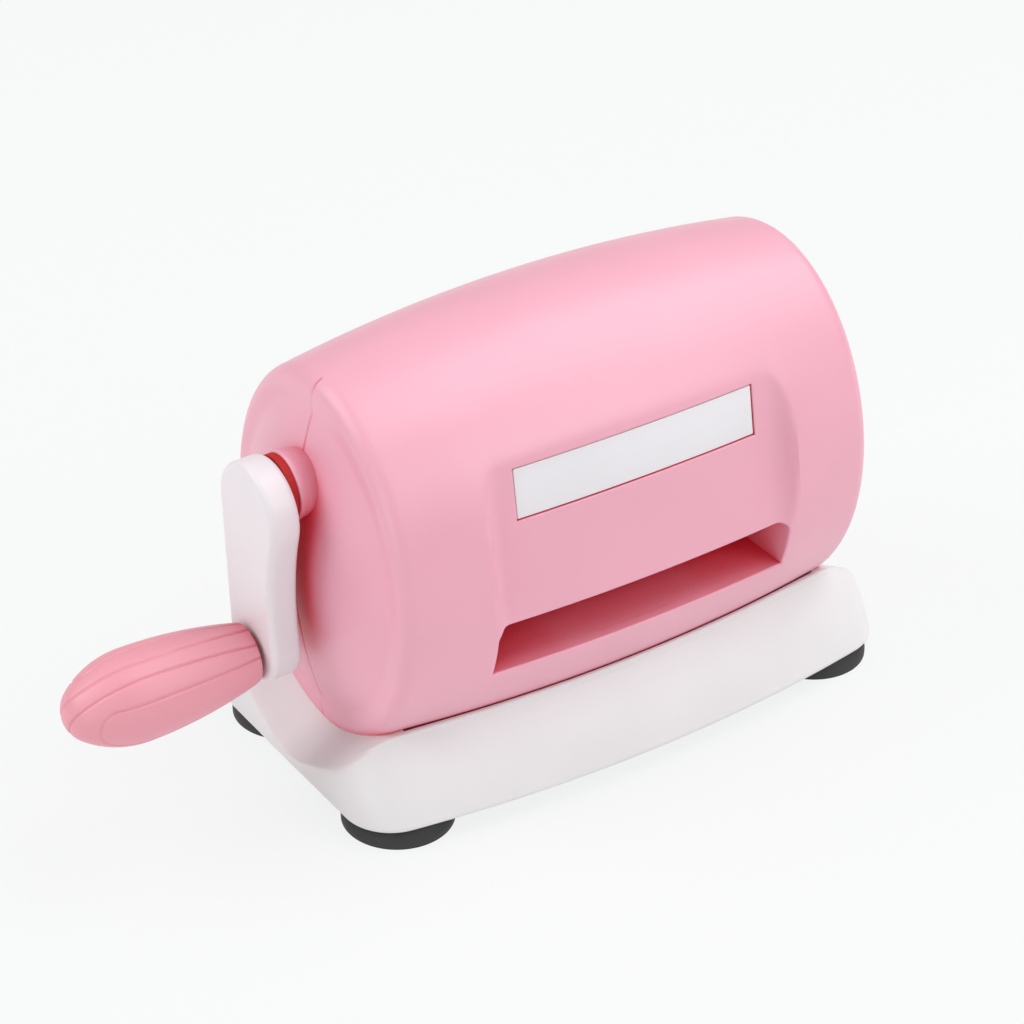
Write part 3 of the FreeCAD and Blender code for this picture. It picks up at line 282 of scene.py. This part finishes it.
def metal(name, colour, roughness, along):
    """Machined metal with fine lines along one axis."""
    finish = Finish(name, Metallic=1.0)
    stretch = [900.0, 900.0, 900.0]
    stretch["XYZ".index(along)] = 25.0
    lines = finish.noise(1.0, 4, finish.stretched(*stretch))
    stain = finish.noise(60, 4)
    finish.feed("Base Color", finish.blend(stain, shade(*colour, 0.92), shade(*colour, 1.04)))
    finish.feed("Roughness", roughness - 0.1 + lines * 0.14 + stain * 0.06)
    finish.bump(lines, 0.12, 0.00005)
    return finish.material


def rubber(name, colour):
    """Soft rubber: dusty clouds and a matt skin."""
    finish = Finish(name, IOR=1.45)
    dust = finish.noise(120, 5)
    finish.feed("Base Color", finish.blend(dust, shade(*colour, 0.85), shade(*colour, 1.2)))
    finish.feed("Roughness", 0.5 + dust * 0.25)
    skin = finish.noise(1800, 3)
    finish.bump(skin, 0.15, 0.0001)
    return finish.material


def fibre(name, colour):
    """Pressed fibre sheet with mottled threads."""
    finish = Finish(name, IOR=1.45)
    threads = finish.noise(700, 5, finish.stretched(1, 3, 1))
    finish.feed("Base Color", finish.blend(threads, shade(*colour, 0.8), shade(*colour, 1.1)))
    finish.feed("Roughness", 0.55 + threads * 0.2)
    finish.bump(threads, 0.2, 0.0001)
    return finish.material


FINISHES = {
    # The pink shell and the grip take painted shade, a deeper red, in the slot, the seam, the grip
    # grooves and the gap behind the crank arm
    "pink_shell": moulded("pink_shell_plastic", (235, 168, 187), 0.4, coat=0.3, deep=(232, 8, 44)),
    "white_base": moulded("white_base_plastic", (231, 229, 230), 0.42),
    "white_label": moulded("white_label_plastic", (232, 230, 234), 0.22, grain=0.02, coat=0.3),
    "white_arm": moulded("white_arm_plastic", (232, 225, 229), 0.4),
    "pink_grip": moulded("pink_grip_plastic", (233, 156, 170), 0.42, deep=(218, 70, 96)),
    "black_rubber": rubber("black_foot_rubber", (52, 52, 53)),
    "red_fibre": fibre("red_washer_fibre", (190, 30, 25)),
    "steel_plate": metal("plate_steel", (175, 177, 180), 0.42, "Z"),
    "steel_bar": metal("ground_steel", (200, 200, 202), 0.28, "X"),
    "steel_screw": metal("screw_steel", (170, 170, 172), 0.35, "Y"),
    "bronze": metal("bush_bronze", (165, 125, 75), 0.4, "X"),
    "gear_plastic": moulded("gear_acetal", (226, 223, 210), 0.45),
}
for entry in frame["record"]["subparts"]:
    mesh = frame["nodes"][entry["node"]].data
    mesh.materials.clear()
    mesh.materials.append(FINISHES[entry["material_slot"]])


# Mesh helpers
class Outline:
    """A line drawn in a mesh from one point on, by spinning and extruding its last vertex."""

    def __init__(self, bm, start):
        self.bm = bm
        self.tip = bm.verts.new(start)

    def arc(self, centre, axis, degrees, steps):
        made = bmesh.ops.spin(
            self.bm, geom=[self.tip], cent=centre, axis=axis, angle=math.radians(degrees), steps=steps,
        )
        self.tip = next(v for v in made["geom_last"] if isinstance(v, bmesh.types.BMVert))
        return self

    def line(self, end, steps=1):
        start = self.tip.co.copy()
        for i in range(1, steps + 1):
            self.tip = bmesh.ops.extrude_vert_indiv(self.bm, verts=[self.tip])["verts"][0]
            self.tip.co = start.lerp(Vector(end), i / steps)
        return self


def soft_min(one, other, softness):
    """The smaller of two heights, with the change from one to the other rounded."""
    return (one + other - math.sqrt((one - other) ** 2 + softness ** 2)) / 2


def settle(name, bm, slot, body, *nodes):
    """Turn a mesh drawn in millimetres into a piece that rides on a body in place of its nodes."""
    bmesh.ops.remove_doubles(bm, verts=bm.verts[:], dist=0.001)
    bmesh.ops.recalc_face_normals(bm, faces=bm.faces[:])
    bmesh.ops.scale(bm, vec=(MM, MM, MM), verts=bm.verts[:])
    for edge in bm.edges:
        edge.smooth = not edge.is_boundary and edge.calc_face_angle(0) < SHARP
    mesh = bpy.data.meshes.new(name)
    bm.to_mesh(mesh)
    bm.free()
    mesh.polygons.foreach_set("use_smooth", [True] * len(mesh.polygons))
    mesh.materials.append(FINISHES[slot])
    piece = bpy.data.objects.new(name, mesh)
    bpy.context.scene.collection.objects.link(piece)
    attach(piece, body)
    if nodes:
        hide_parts(*nodes)
    return piece


def thicken(piece, thickness):
    wall = piece.modifiers.new("wall", "SOLIDIFY")
    wall.thickness = thickness * MM
    wall.offset = -1
    return wall


# Openings
class Window:
    """A convex opening in a wall, bounded by planes; inward is the way into the wall."""

    def __init__(self, planes, inward, middle, reach):
        self.planes = [(Vector(point), Vector(normal).normalized()) for point, normal in planes]
        self.inward = Vector(inward).normalized()
        self.middle = Vector(middle)
        self.reach = reach

    def near(self, place):
        return (place - self.middle).length < self.reach

    def outside(self, place):
        """How far a place is beyond the planes."""
        return max((place - point).dot(normal) for point, normal in self.planes)

    def sideways(self, place, offset):
        """The step that moves a place on the rim one unit away from the opening."""
        normals = [n for point, n in self.planes if abs((place - point).dot(n) - offset) < 0.02]
        if len(normals) == 1:
            return normals[0]
        return (normals[0] + normals[1]) / (1 + normals[0].dot(normals[1]))

    def cut(self, bm, rounding):
        for point, normal in self.planes:
            faces = [f for f in bm.faces if self.near(f.calc_center_median())]
            geometry = set(faces)
            for face in faces:
                geometry.update(face.edges)
                geometry.update(face.verts)
            bmesh.ops.bisect_plane(
                bm, geom=list(geometry), dist=0.0001,
                plane_co=point + normal * rounding, plane_no=normal,
            )
        gap = []
        for face in bm.faces:
            place = face.calc_center_median()
            if self.near(place) and self.outside(place) < rounding:
                gap.append(face)
        bmesh.ops.delete(bm, geom=gap, context="FACES")

    def line(self, bm, rounding, depth, steps=4):
        """Round the rim of the cut and run it into the wall; depth maps a place to how far it goes."""
        edges = []
        for edge in bm.edges:
            ends = [v.co for v in edge.verts]
            if edge.is_boundary and all(self.near(e) and self.outside(e) < rounding + 0.01 for e in ends):
                edges.append(edge)
        side, sunk = 0.0, 0.0
        lining = []
        for step in range(1, steps + 2):
            made = bmesh.ops.extrude_edge_only(bm, edges=edges)["geom"]
            edges = [part for part in made if isinstance(part, bmesh.types.BMEdge)]
            verts = [part for part in made if isinstance(part, bmesh.types.BMVert)]
            lining += verts
            if step > steps:
                for vertex in verts:
                    vertex.co += self.inward * depth(vertex.co)
                return lining
            angle = math.radians(90 * step / steps)
            new_side = rounding * math.sin(angle)
            new_sunk = rounding * (1 - math.cos(angle))
            for vertex in verts:
                way = self.sideways(vertex.co, rounding - side)
                vertex.co += self.inward * (new_sunk - sunk) - way * (new_side - side)
            side, sunk = new_side, new_sunk


def slot_window(side):
    """The feed slot, with round upper corners."""
    planes = [((0, 0, SLOT_FLOOR), (0, 0, -1)), ((0, 0, SLOT_TOP), (0, 0, 1))]
    for sx in (-1, 1):
        planes.append(((sx * SLOT_SIDE, 0, 0), (sx, 0, 0)))
        corner = Vector((sx * (SLOT_SIDE - SLOT_CORNER), 0, SLOT_TOP - SLOT_CORNER))
        for degrees in (15, 30, 45, 60, 75):
            way = Vector((sx * math.cos(math.radians(degrees)), 0, math.sin(math.radians(degrees))))
            planes.append((corner + way * SLOT_CORNER, way))
    middle = (0, side * HALF_DEPTH, (SLOT_FLOOR + SLOT_TOP) / 2)
    return Window(planes, (0, -side, 0), middle, SLOT_SIDE + WINDOW_MARGIN)


def on_panel(x, rise, lift=0.0):
    """A place on the front panel, rise above the slot along it and lift in front of it."""
    return Vector((
        x,
        -PANEL_DEPTH + rise * math.sin(PANEL_TILT) - lift * math.cos(PANEL_TILT),
        SLOT_TOP + rise * math.cos(PANEL_TILT) + lift * math.sin(PANEL_TILT),
    ))


def label_window():
    up = Vector((0, math.sin(PANEL_TILT), math.cos(PANEL_TILT)))
    half_length = LABEL_LENGTH / 2 + LABEL_GAP
    half_height = LABEL_HEIGHT / 2 + LABEL_GAP
    planes = [
        (on_panel(-half_length, LABEL_RISE), (-1, 0, 0)),
        (on_panel(half_length, LABEL_RISE), (1, 0, 0)),
        (on_panel(0, LABEL_RISE - half_height), -up),
        (on_panel(0, LABEL_RISE + half_height), up),
    ]
    inward = (0, math.cos(PANEL_TILT), -math.sin(PANEL_TILT))
    return Window(planes, inward, on_panel(0, LABEL_RISE), half_length + WINDOW_MARGIN)


def seat_window(x, z):
    """The recess of one screw in the rear shell."""
    planes = []
    for i in range(SEAT_SIDES):
        turn = math.tau * i / SEAT_SIDES
        way = Vector((math.cos(turn), 0, math.sin(turn)))
        planes.append((Vector((x, 0, z)) + way * SEAT_RADIUS, way))
    y = barrel_half_depth(x, z)
    return Window(planes, (0, -1, 0), (x, y, z), 4 * SEAT_RADIUS)


# Barrel
def barrel_outline(bm):
    """Half section of the barrel, from one pole to the other."""
    dome = (CREASE ** 2 + DOME ** 2) / (2 * DOME)
    dome_angle = math.degrees(math.asin(CREASE / dome))
    bow = (RIM ** 2 + DROP ** 2) / (2 * DROP)
    bow_centre = HALF_HEIGHT - bow
    round_x = RIM - RIM_ROUND
    round_z = bow_centre + math.sqrt((bow - RIM_ROUND) ** 2 - round_x ** 2)
    bow_angle = math.degrees(math.asin(round_x / (bow - RIM_ROUND)))
    line = Outline(bm, (-RIM - DOME, 0, 0))
    line.arc((-RIM - DOME + dome, 0, 0), ABOUT_Y, dome_angle, 36)
    line.line((-RIM, 0, round_z), 3)
    line.arc((-round_x, 0, round_z), ABOUT_Y, 90 - bow_angle, 14)
    line.arc((0, 0, bow_centre), ABOUT_Y, 2 * bow_angle, 150)
    line.arc((round_x, 0, round_z), ABOUT_Y, 90 - bow_angle, 14)
    line.line((RIM, 0, CREASE), 3)
    line.arc((RIM + DOME - dome, 0, 0), ABOUT_Y, dome_angle, 36)


def barrel_half_depth(x, z):
    """Distance of the barrel's surface from the parting plane."""
    bow = (RIM ** 2 + DROP ** 2) / (2 * DROP)
    radius = HALF_HEIGHT - bow + math.sqrt(bow ** 2 - x ** 2)
    return HALF_DEPTH / HALF_HEIGHT * math.sqrt(radius ** 2 - (z - AXIS) ** 2)


def spin_about_x(bm, degrees, steps):
    geometry = bm.verts[:] + bm.edges[:]
    bmesh.ops.spin(bm, geom=geometry, axis=ABOUT_X, angle=math.radians(degrees), steps=steps)


def panel_dip(x):
    """How far the bow of the panel falls back at x."""
    return PANEL_BOW - math.sqrt(PANEL_BOW ** 2 - x ** 2)


def press_panel(bm):
    """Press the leaning, bowed front panel in; its sides are hollow and its top fades out."""
    for vertex in bm.verts:
        place = vertex.co
        if place.y > -PANEL_START or place.z < SLOT_FLOOR - SLOT_ROUND + 0.05:
            continue
        beyond = abs(place.x) - (PANEL_SIDE - PANEL_HOLLOW)
        flat = PANEL_DEPTH - (place.z - SLOT_TOP) * math.tan(PANEL_TILT)
        flat -= panel_dip(min(place.x, PANEL_SIDE - PANEL_HOLLOW, key=abs))
        if beyond >= PANEL_HOLLOW:
            continue
        if beyond > 0:
            flat += PANEL_HOLLOW - math.sqrt(PANEL_HOLLOW ** 2 - beyond ** 2)
        place.y = -soft_min(-place.y, flat, EDGE_BREAK)


def half_boss(bm, sign):
    """Half of the crank boss."""
    boss = bmesh.new()
    line = Outline(boss, (-BOSS_FACE + BOSS_LINING, 0, BORE))
    line.line((-BOSS_FACE, 0, BORE))
    line.line((-BOSS_FACE, 0, BOSS_RADIUS - BOSS_ROUND))
    line.arc((-BOSS_FACE + BOSS_ROUND, 0, BOSS_RADIUS - BOSS_ROUND), ABOUT_Y, 90, 6)
    line.line((-RIM - BOSS_BURIED, 0, BOSS_ROOT), 6)
    spin_about_x(boss, sign * 180, 40)
    bmesh.ops.translate(boss, vec=(0, 0, CRANK_AXIS), verts=boss.verts[:])
    mesh = bpy.data.meshes.new("boss")
    boss.to_mesh(mesh)
    boss.free()
    bm.from_mesh(mesh)
    bpy.data.meshes.remove(mesh)


def groove_seam(bm, side):
    """Sink the parting edge of the ends a little, for half of a soft groove."""
    ends = [f for f in bm.faces if abs(f.calc_center_median().x) > RIM - END_REACH]
    geometry = set(ends)
    for face in ends:
        geometry.update(face.edges)
        geometry.update(face.verts)
    bmesh.ops.bisect_plane(
        bm, geom=list(geometry), plane_co=(0, side * SEAM_WIDTH, 0), plane_no=(0, 1, 0),
    )
    for vertex in bm.verts:
        if abs(vertex.co.y) < 0.01 and abs(vertex.co.x) > RIM - SEAM_REACH:
            middle = Vector((math.copysign(RIM - CENTRE_REACH, vertex.co.x), 0, AXIS))
            vertex.co += (middle - vertex.co).normalized() * SEAM_DEPTH


def shell(name, side, node):
    """One half of the barrel; side is -1 in front and 1 behind."""
    bm = bmesh.new()
    barrel_outline(bm)
    spin_about_x(bm, -side * 180, 120)
    bmesh.ops.remove_doubles(bm, verts=bm.verts[:], dist=0.001)
    bmesh.ops.scale(bm, vec=(1, HALF_DEPTH / HALF_HEIGHT, 1), verts=bm.verts[:])
    bmesh.ops.translate(bm, vec=(0, 0, AXIS), verts=bm.verts[:])
    everything = bm.verts[:] + bm.edges[:] + bm.faces[:]
    bmesh.ops.bisect_plane(
        bm, geom=everything, plane_co=(0, 0, SKIRT), plane_no=(0, 0, -1), clear_outer=True,
    )
    groove_seam(bm, side)
    half_boss(bm, -side)
    weight = bm.verts.layers.deform.verify()
    thin = set()
    slot = slot_window(side)
    slot.cut(bm, SLOT_ROUND)
    if side < 0:
        press_panel(bm)
        label = label_window()
        label.cut(bm, LABEL_GAP)
        label.line(bm, LABEL_GAP, lambda place: LABEL_SINK + LABEL_THICKNESS)
    else:
        for x, z in SEATS:
            seat = seat_window(x, z)
            seat.cut(bm, SEAT_BREAK)
            thin.update(seat.line(bm, SEAT_BREAK, lambda place: place.y - SEAT_DEPTH))
    slot.line(bm, SLOT_ROUND, lambda place: abs(place.y) - SLOT_DEPTH)
    for vertex in bm.verts:
        vertex[weight][0] = 0.0 if vertex in thin else 1.0
    piece = settle(name, bm, "pink_shell", "housing", node)
    wall = thicken(piece, WALL)
    wall.vertex_group = piece.vertex_groups.new(name="thick").name


shell("front_cover", -1, "front_shell")
shell("rear_cover", 1, "rear_shell")


# Base
def saddle_height(x, y):
    """Height of the hollow that the ends of the base have round the barrel."""

    def section(floor, edge):
        if abs(y) < SADDLE_BEND:
            radius = (SADDLE_BEND ** 2 + SADDLE_RISE ** 2) / (2 * SADDLE_RISE)
            return floor + radius - math.sqrt(radius ** 2 - y ** 2)
        slope = (edge - floor - SADDLE_RISE) / (SADDLE_SIDE - SADDLE_BEND)
        return floor + SADDLE_RISE + (abs(y) - SADDLE_BEND) * slope

    near_x, near_floor, near_edge = SADDLE_NEAR
    far_x, far_floor, far_edge = SADDLE_FAR
    share = (abs(x) - near_x) / (far_x - near_x)
    return section(near_floor, near_edge) * (1 - share) + section(far_floor, far_edge) * share


def base_outline(bm, length, width, corner):
    """Closed outline with bowed long sides and round corners; returns its points in order."""
    half, deep = length / 2, width / 2
    lift = BASE_BOW - deep
    corner_y = math.sqrt((BASE_BOW - corner) ** 2 - (half - corner) ** 2) - lift
    spread = math.degrees(math.asin((half - corner) / (BASE_BOW - corner)))
    line = Outline(bm, (half, 0, 0))
    for sx, sy in ((1, 1), (-1, -1)):
        line.line((sx * half, sy * corner_y, 0), 24)
        line.arc((sx * (half - corner), sy * corner_y, 0), ABOUT_Z, 90 - spread, 20)
        line.arc((0, -sy * lift, 0), ABOUT_Z, 2 * spread, 90)
        line.arc((-sx * (half - corner), sy * corner_y, 0), ABOUT_Z, 90 - spread, 20)
        line.line((-sx * half, 0, 0), 24)
    bmesh.ops.remove_doubles(bm, verts=bm.verts[:], dist=0.001)
    return [v.co.copy() for v in bm.verts]


def inset(place, depth):
    """A place of the base moved towards the middle."""
    x = place.x * (1 - 2 * depth / BASE_LENGTH)
    y = place.y * (1 - 2 * depth / BASE_WIDTH)
    return Vector((x, y, place.z))


def base_rows(low, high):
    """Rings of points of the base from its lower edge up its wall, over the lip and in to the barrel."""
    for i in range(FOOT_STEPS + 1):
        turn = math.radians(90 * i / FOOT_STEPS)
        rise = Vector((0, 0, BASE_BOTTOM + BASE_LIP * (1 - math.cos(turn))))
        yield [inset(p, BASE_LIP * (1 - math.sin(turn))) + rise for p in low]
    foot, brim = BASE_BOTTOM + BASE_LIP, BASE_TOP - BASE_LIP
    for i in range(1, WALL_STEPS + 1):
        share = i / WALL_STEPS
        rise = Vector((0, 0, foot + (brim - foot) * share))
        bulge = BASE_BULGE * math.sin(math.pi * share)
        yield [inset(p.lerp(q, share), -bulge) + rise for p, q in zip(low, high)]
    for i in range(1, LIP_STEPS + 1):
        turn = math.radians(90 * i / LIP_STEPS)
        rise = Vector((0, 0, brim + BASE_LIP * math.sin(turn)))
        lip = [inset(q, BASE_LIP * (1 - math.cos(turn))) + rise for q in high]
        yield lip
    inner = []
    for p in lip:
        x = max(-DECK_END, min(DECK_END, p.x))
        rest = min(BASE_TOP, saddle_height(x, barrel_half_depth(x, BASE_TOP)))
        y = min(abs(p.y), barrel_half_depth(x, rest) + DECK_GAP)
        inner.append(Vector((x, math.copysign(y, p.y), BASE_TOP)))
    for i in range(1, DECK_STEPS + 1):
        yield [p.lerp(q, i / DECK_STEPS) for p, q in zip(lip, inner)]
    yield [q - Vector((0, 0, TRENCH)) for q in inner]


def base_cradle():
    """Sloping wall, rounded upper edge and a deck that dips round the barrel at the ends."""
    scratch = bmesh.new()
    high = base_outline(scratch, BASE_TOP_LENGTH, BASE_TOP_WIDTH, BASE_TOP_CORNER)
    scratch.free()
    bm = bmesh.new()
    low = base_outline(bm, BASE_LENGTH, BASE_WIDTH, BASE_CORNER)
    column = bm.verts.layers.int.new("column")
    for i, vertex in enumerate(bm.verts):
        vertex[column] = i
    edges, verts = bm.edges[:], bm.verts[:]
    for i, row in enumerate(base_rows(low, high)):
        if i:
            made = bmesh.ops.extrude_edge_only(bm, edges=edges)["geom"]
            verts = [part for part in made if isinstance(part, bmesh.types.BMVert)]
            edges = [part for part in made if isinstance(part, bmesh.types.BMEdge)]
        for vertex in verts:
            vertex.co = row[vertex[column]]
            vertex.co.z = soft_min(vertex.co.z, saddle_height(vertex.co.x, vertex.co.y), RIDGE_BREAK)
    piece = settle("base_cradle", bm, "white_base", "housing", "base")
    thicken(piece, BASE_WALL)


base_cradle()


# Label plate
def label_plate():
    """A thin bowed plate with broken edges, set in the panel."""
    bm = bmesh.new()
    bmesh.ops.create_cube(bm, size=1)
    bmesh.ops.scale(bm, vec=(LABEL_LENGTH, LABEL_THICKNESS, LABEL_HEIGHT), verts=bm.verts[:])
    bmesh.ops.bevel(
        bm, geom=bm.edges[:], offset=LABEL_ROUND, offset_type="OFFSET", segments=3, profile=0.5,
        affect="EDGES", material=-1, clamp_overlap=True,
    )
    for i in range(1, LABEL_SLICES):
        everything = bm.verts[:] + bm.edges[:] + bm.faces[:]
        cut_at = LABEL_LENGTH * (i / LABEL_SLICES - 0.5)
        bmesh.ops.bisect_plane(bm, geom=everything, plane_co=(cut_at, 0, 0), plane_no=(1, 0, 0))
    for vertex in bm.verts:
        vertex.co.y += panel_dip(vertex.co.x)
    turn = Matrix.Rotation(-PANEL_TILT, 4, "X")
    middle = on_panel(0, LABEL_RISE, -LABEL_SINK - LABEL_THICKNESS / 2)
    bmesh.ops.transform(bm, matrix=Matrix.Translation(middle) @ turn, verts=bm.verts[:])
    settle("label_face", bm, "white_label", "housing", "label_plate")


label_plate()


# Grip
def grip_outline(bm):
    """Half section of the grip from its bore over the belly to the tip."""
    fall = GRIP_RADIUS - GRIP_END_RADIUS
    reach = GRIP_BELLY - GRIP_START
    long = (reach ** 2 + fall ** 2) / (2 * fall)
    edge_x = GRIP_START + GRIP_EDGE
    edge_z = GRIP_RADIUS - long + math.sqrt(long ** 2 - (GRIP_BELLY - edge_x) ** 2) - GRIP_EDGE
    long_angle = math.degrees(math.asin((GRIP_BELLY - edge_x) / long))
    tip_x = GRIP_TIP - GRIP_TIP_RADIUS
    run = tip_x - GRIP_BELLY
    short = (run ** 2 + GRIP_RADIUS ** 2 - GRIP_TIP_RADIUS ** 2) / (2 * (GRIP_RADIUS - GRIP_TIP_RADIUS))
    short_angle = math.degrees(math.atan2(run, short - GRIP_RADIUS))
    line = Outline(bm, (-GRIP_START - GRIP_BORE_DEPTH, 0, GRIP_BORE))
    line.line((-GRIP_START, 0, GRIP_BORE), 4)
    line.line((-GRIP_START, 0, edge_z), 8)
    line.arc((-edge_x, 0, edge_z), ABOUT_Y, -90, 4)
    line.arc((-GRIP_BELLY, 0, GRIP_RADIUS - long), ABOUT_Y, -long_angle, 90)
    line.arc((-GRIP_BELLY, 0, GRIP_RADIUS - short), ABOUT_Y, -short_angle, 54)
    line.arc((-tip_x, 0, 0), ABOUT_Y, short_angle - 90, 26)


def off_line(place):
    """Distance of a place on the grip from the nearest of its grooves."""
    radius = math.hypot(place.y, place.z)
    turn = abs(math.remainder(math.atan2(-place.y, place.z) - BAND_TURN, math.tau))
    band = abs(radius * math.sin(turn) - BAND_SIDE)
    beyond = max(0, -place.x - FINGER_END)
    side = radius * abs(turn - FINGER_MIDDLE)
    panel = math.hypot(beyond, side) - FINGER_SIDE * (FINGER_RADIUS if beyond else radius)
    return min(band, abs(panel))


def grip():
    """The closed grip with soft grooves pressed into it."""
    bm = bmesh.new()
    grip_outline(bm)
    geometry = bm.verts[:] + bm.edges[:]
    bmesh.ops.spin(bm, geom=geometry, axis=ABOUT_X, angle=math.tau, steps=288, use_merge=True)
    for vertex in bm.verts:
        core = Vector((max(vertex.co.x, GRIP_TIP_RADIUS - GRIP_TIP), 0, 0))
        inward = core - vertex.co
        if vertex.co.x < -GRIP_START - 0.1 and inward.length > GRIP_BORE + 0.1:
            depth = LINE_DEPTH * math.exp(-(off_line(vertex.co) / LINE_WIDTH) ** 2)
            vertex.co += inward.normalized() * depth
    bmesh.ops.translate(bm, vec=(0, 0, GRIP_AXIS), verts=bm.verts[:])
    settle("grip_skin", bm, "pink_grip", "grip", "grip_front_half", "grip_rear_half")


grip()

# Camera where the photograph was taken
TARGET = Vector((-12.24, 0, 54.61)) * MM
DISTANCE = 880.2 * MM
AZIMUTH = math.radians(-33.49)
ELEVATION = math.radians(33.29)
FOCUS = 126.5
back = Vector((
    math.sin(AZIMUTH) * math.cos(ELEVATION),
    -math.cos(AZIMUTH) * math.cos(ELEVATION),
    math.sin(ELEVATION),
))
right = Vector((math.cos(AZIMUTH), math.sin(AZIMUTH), 0))
up = back.cross(right)
camera_data = bpy.data.cameras.new("camera")
camera_data.lens = FOCUS
camera_data.sensor_width = 36
camera_data.clip_end = 20
camera = bpy.data.objects.new("camera", camera_data)
turned = Matrix((right, up, back)).transposed().to_4x4()
camera.matrix_world = Matrix.Translation(TARGET + back * DISTANCE) @ turned
bpy.context.scene.collection.objects.link(camera)
bpy.context.scene.camera = camera


# Light
def softbox(name, place, aim, size, power):
    """A square lamp that looks at a place."""
    data = bpy.data.lights.new(name, "AREA")
    data.size = size
    data.energy = power
    lamp = bpy.data.objects.new(name, data)
    lamp.location = place
    lamp.rotation_euler = (Vector(aim) - Vector(place)).to_track_quat("-Z", "Y").to_euler()
    bpy.context.scene.collection.objects.link(lamp)


softbox("key", (0.45, -0.85, 0.65), (0, 0, 0.06), 0.5, 2.9)
softbox("top", (0.5, -0.1, 0.9), (0, 0, 0.06), 0.8, 5.7)
softbox("side", (-0.75, 0.35, 0.78), (0, 0, 0.06), 0.7, 5.0)
softbox("low", (-0.85, -0.5, 0.3), (0, 0, 0.04), 0.5, 1.5)

world = bpy.data.worlds.new("studio")
bpy.context.scene.world = world
world.use_nodes = True
world.node_tree.nodes["Background"].inputs["Color"].default_value = (1, 1, 1, 1)
world.node_tree.nodes["Background"].inputs["Strength"].default_value = 0.4
bpy.context.scene.view_settings.view_transform = "Standard"


# Floor
def floor_finish():
    """Pale paper that reads as white to the camera and still takes the shadow."""
    finish = Finish("floor_paper", Roughness=0.9)
    fibres = finish.noise(300, 3)
    finish.feed("Base Color", finish.blend(fibres, shade(234, 236, 235), shade(238, 239, 239)))
    path = finish.node("ShaderNodeLightPath")
    seen = Value(finish, path.outputs["Is Camera Ray"]) + Value(finish, path.outputs["Is Glossy Ray"])
    glow = finish.node("ShaderNodeEmission", None, {"Color": shade(249, 250, 250), "Strength": 1.0})
    mixed = finish.node(
        "ShaderNodeMixShader", None,
        {0: seen * FLOOR_GLOW, 1: finish.shader.outputs[0], 2: glow.outputs[0]},
    )
    output = finish.tree.nodes["Material Output"]
    finish.tree.links.new(mixed.outputs[0], output.inputs["Surface"])
    return finish.material


floor_mesh = bmesh.new()
bmesh.ops.create_grid(floor_mesh, x_segments=2, y_segments=2, size=4)
floor_data = bpy.data.meshes.new("floor")
floor_mesh.to_mesh(floor_data)
floor_mesh.free()
floor_data.materials.append(floor_finish())
floor = bpy.data.objects.new("floor", floor_data)
bpy.context.scene.collection.objects.link(floor)
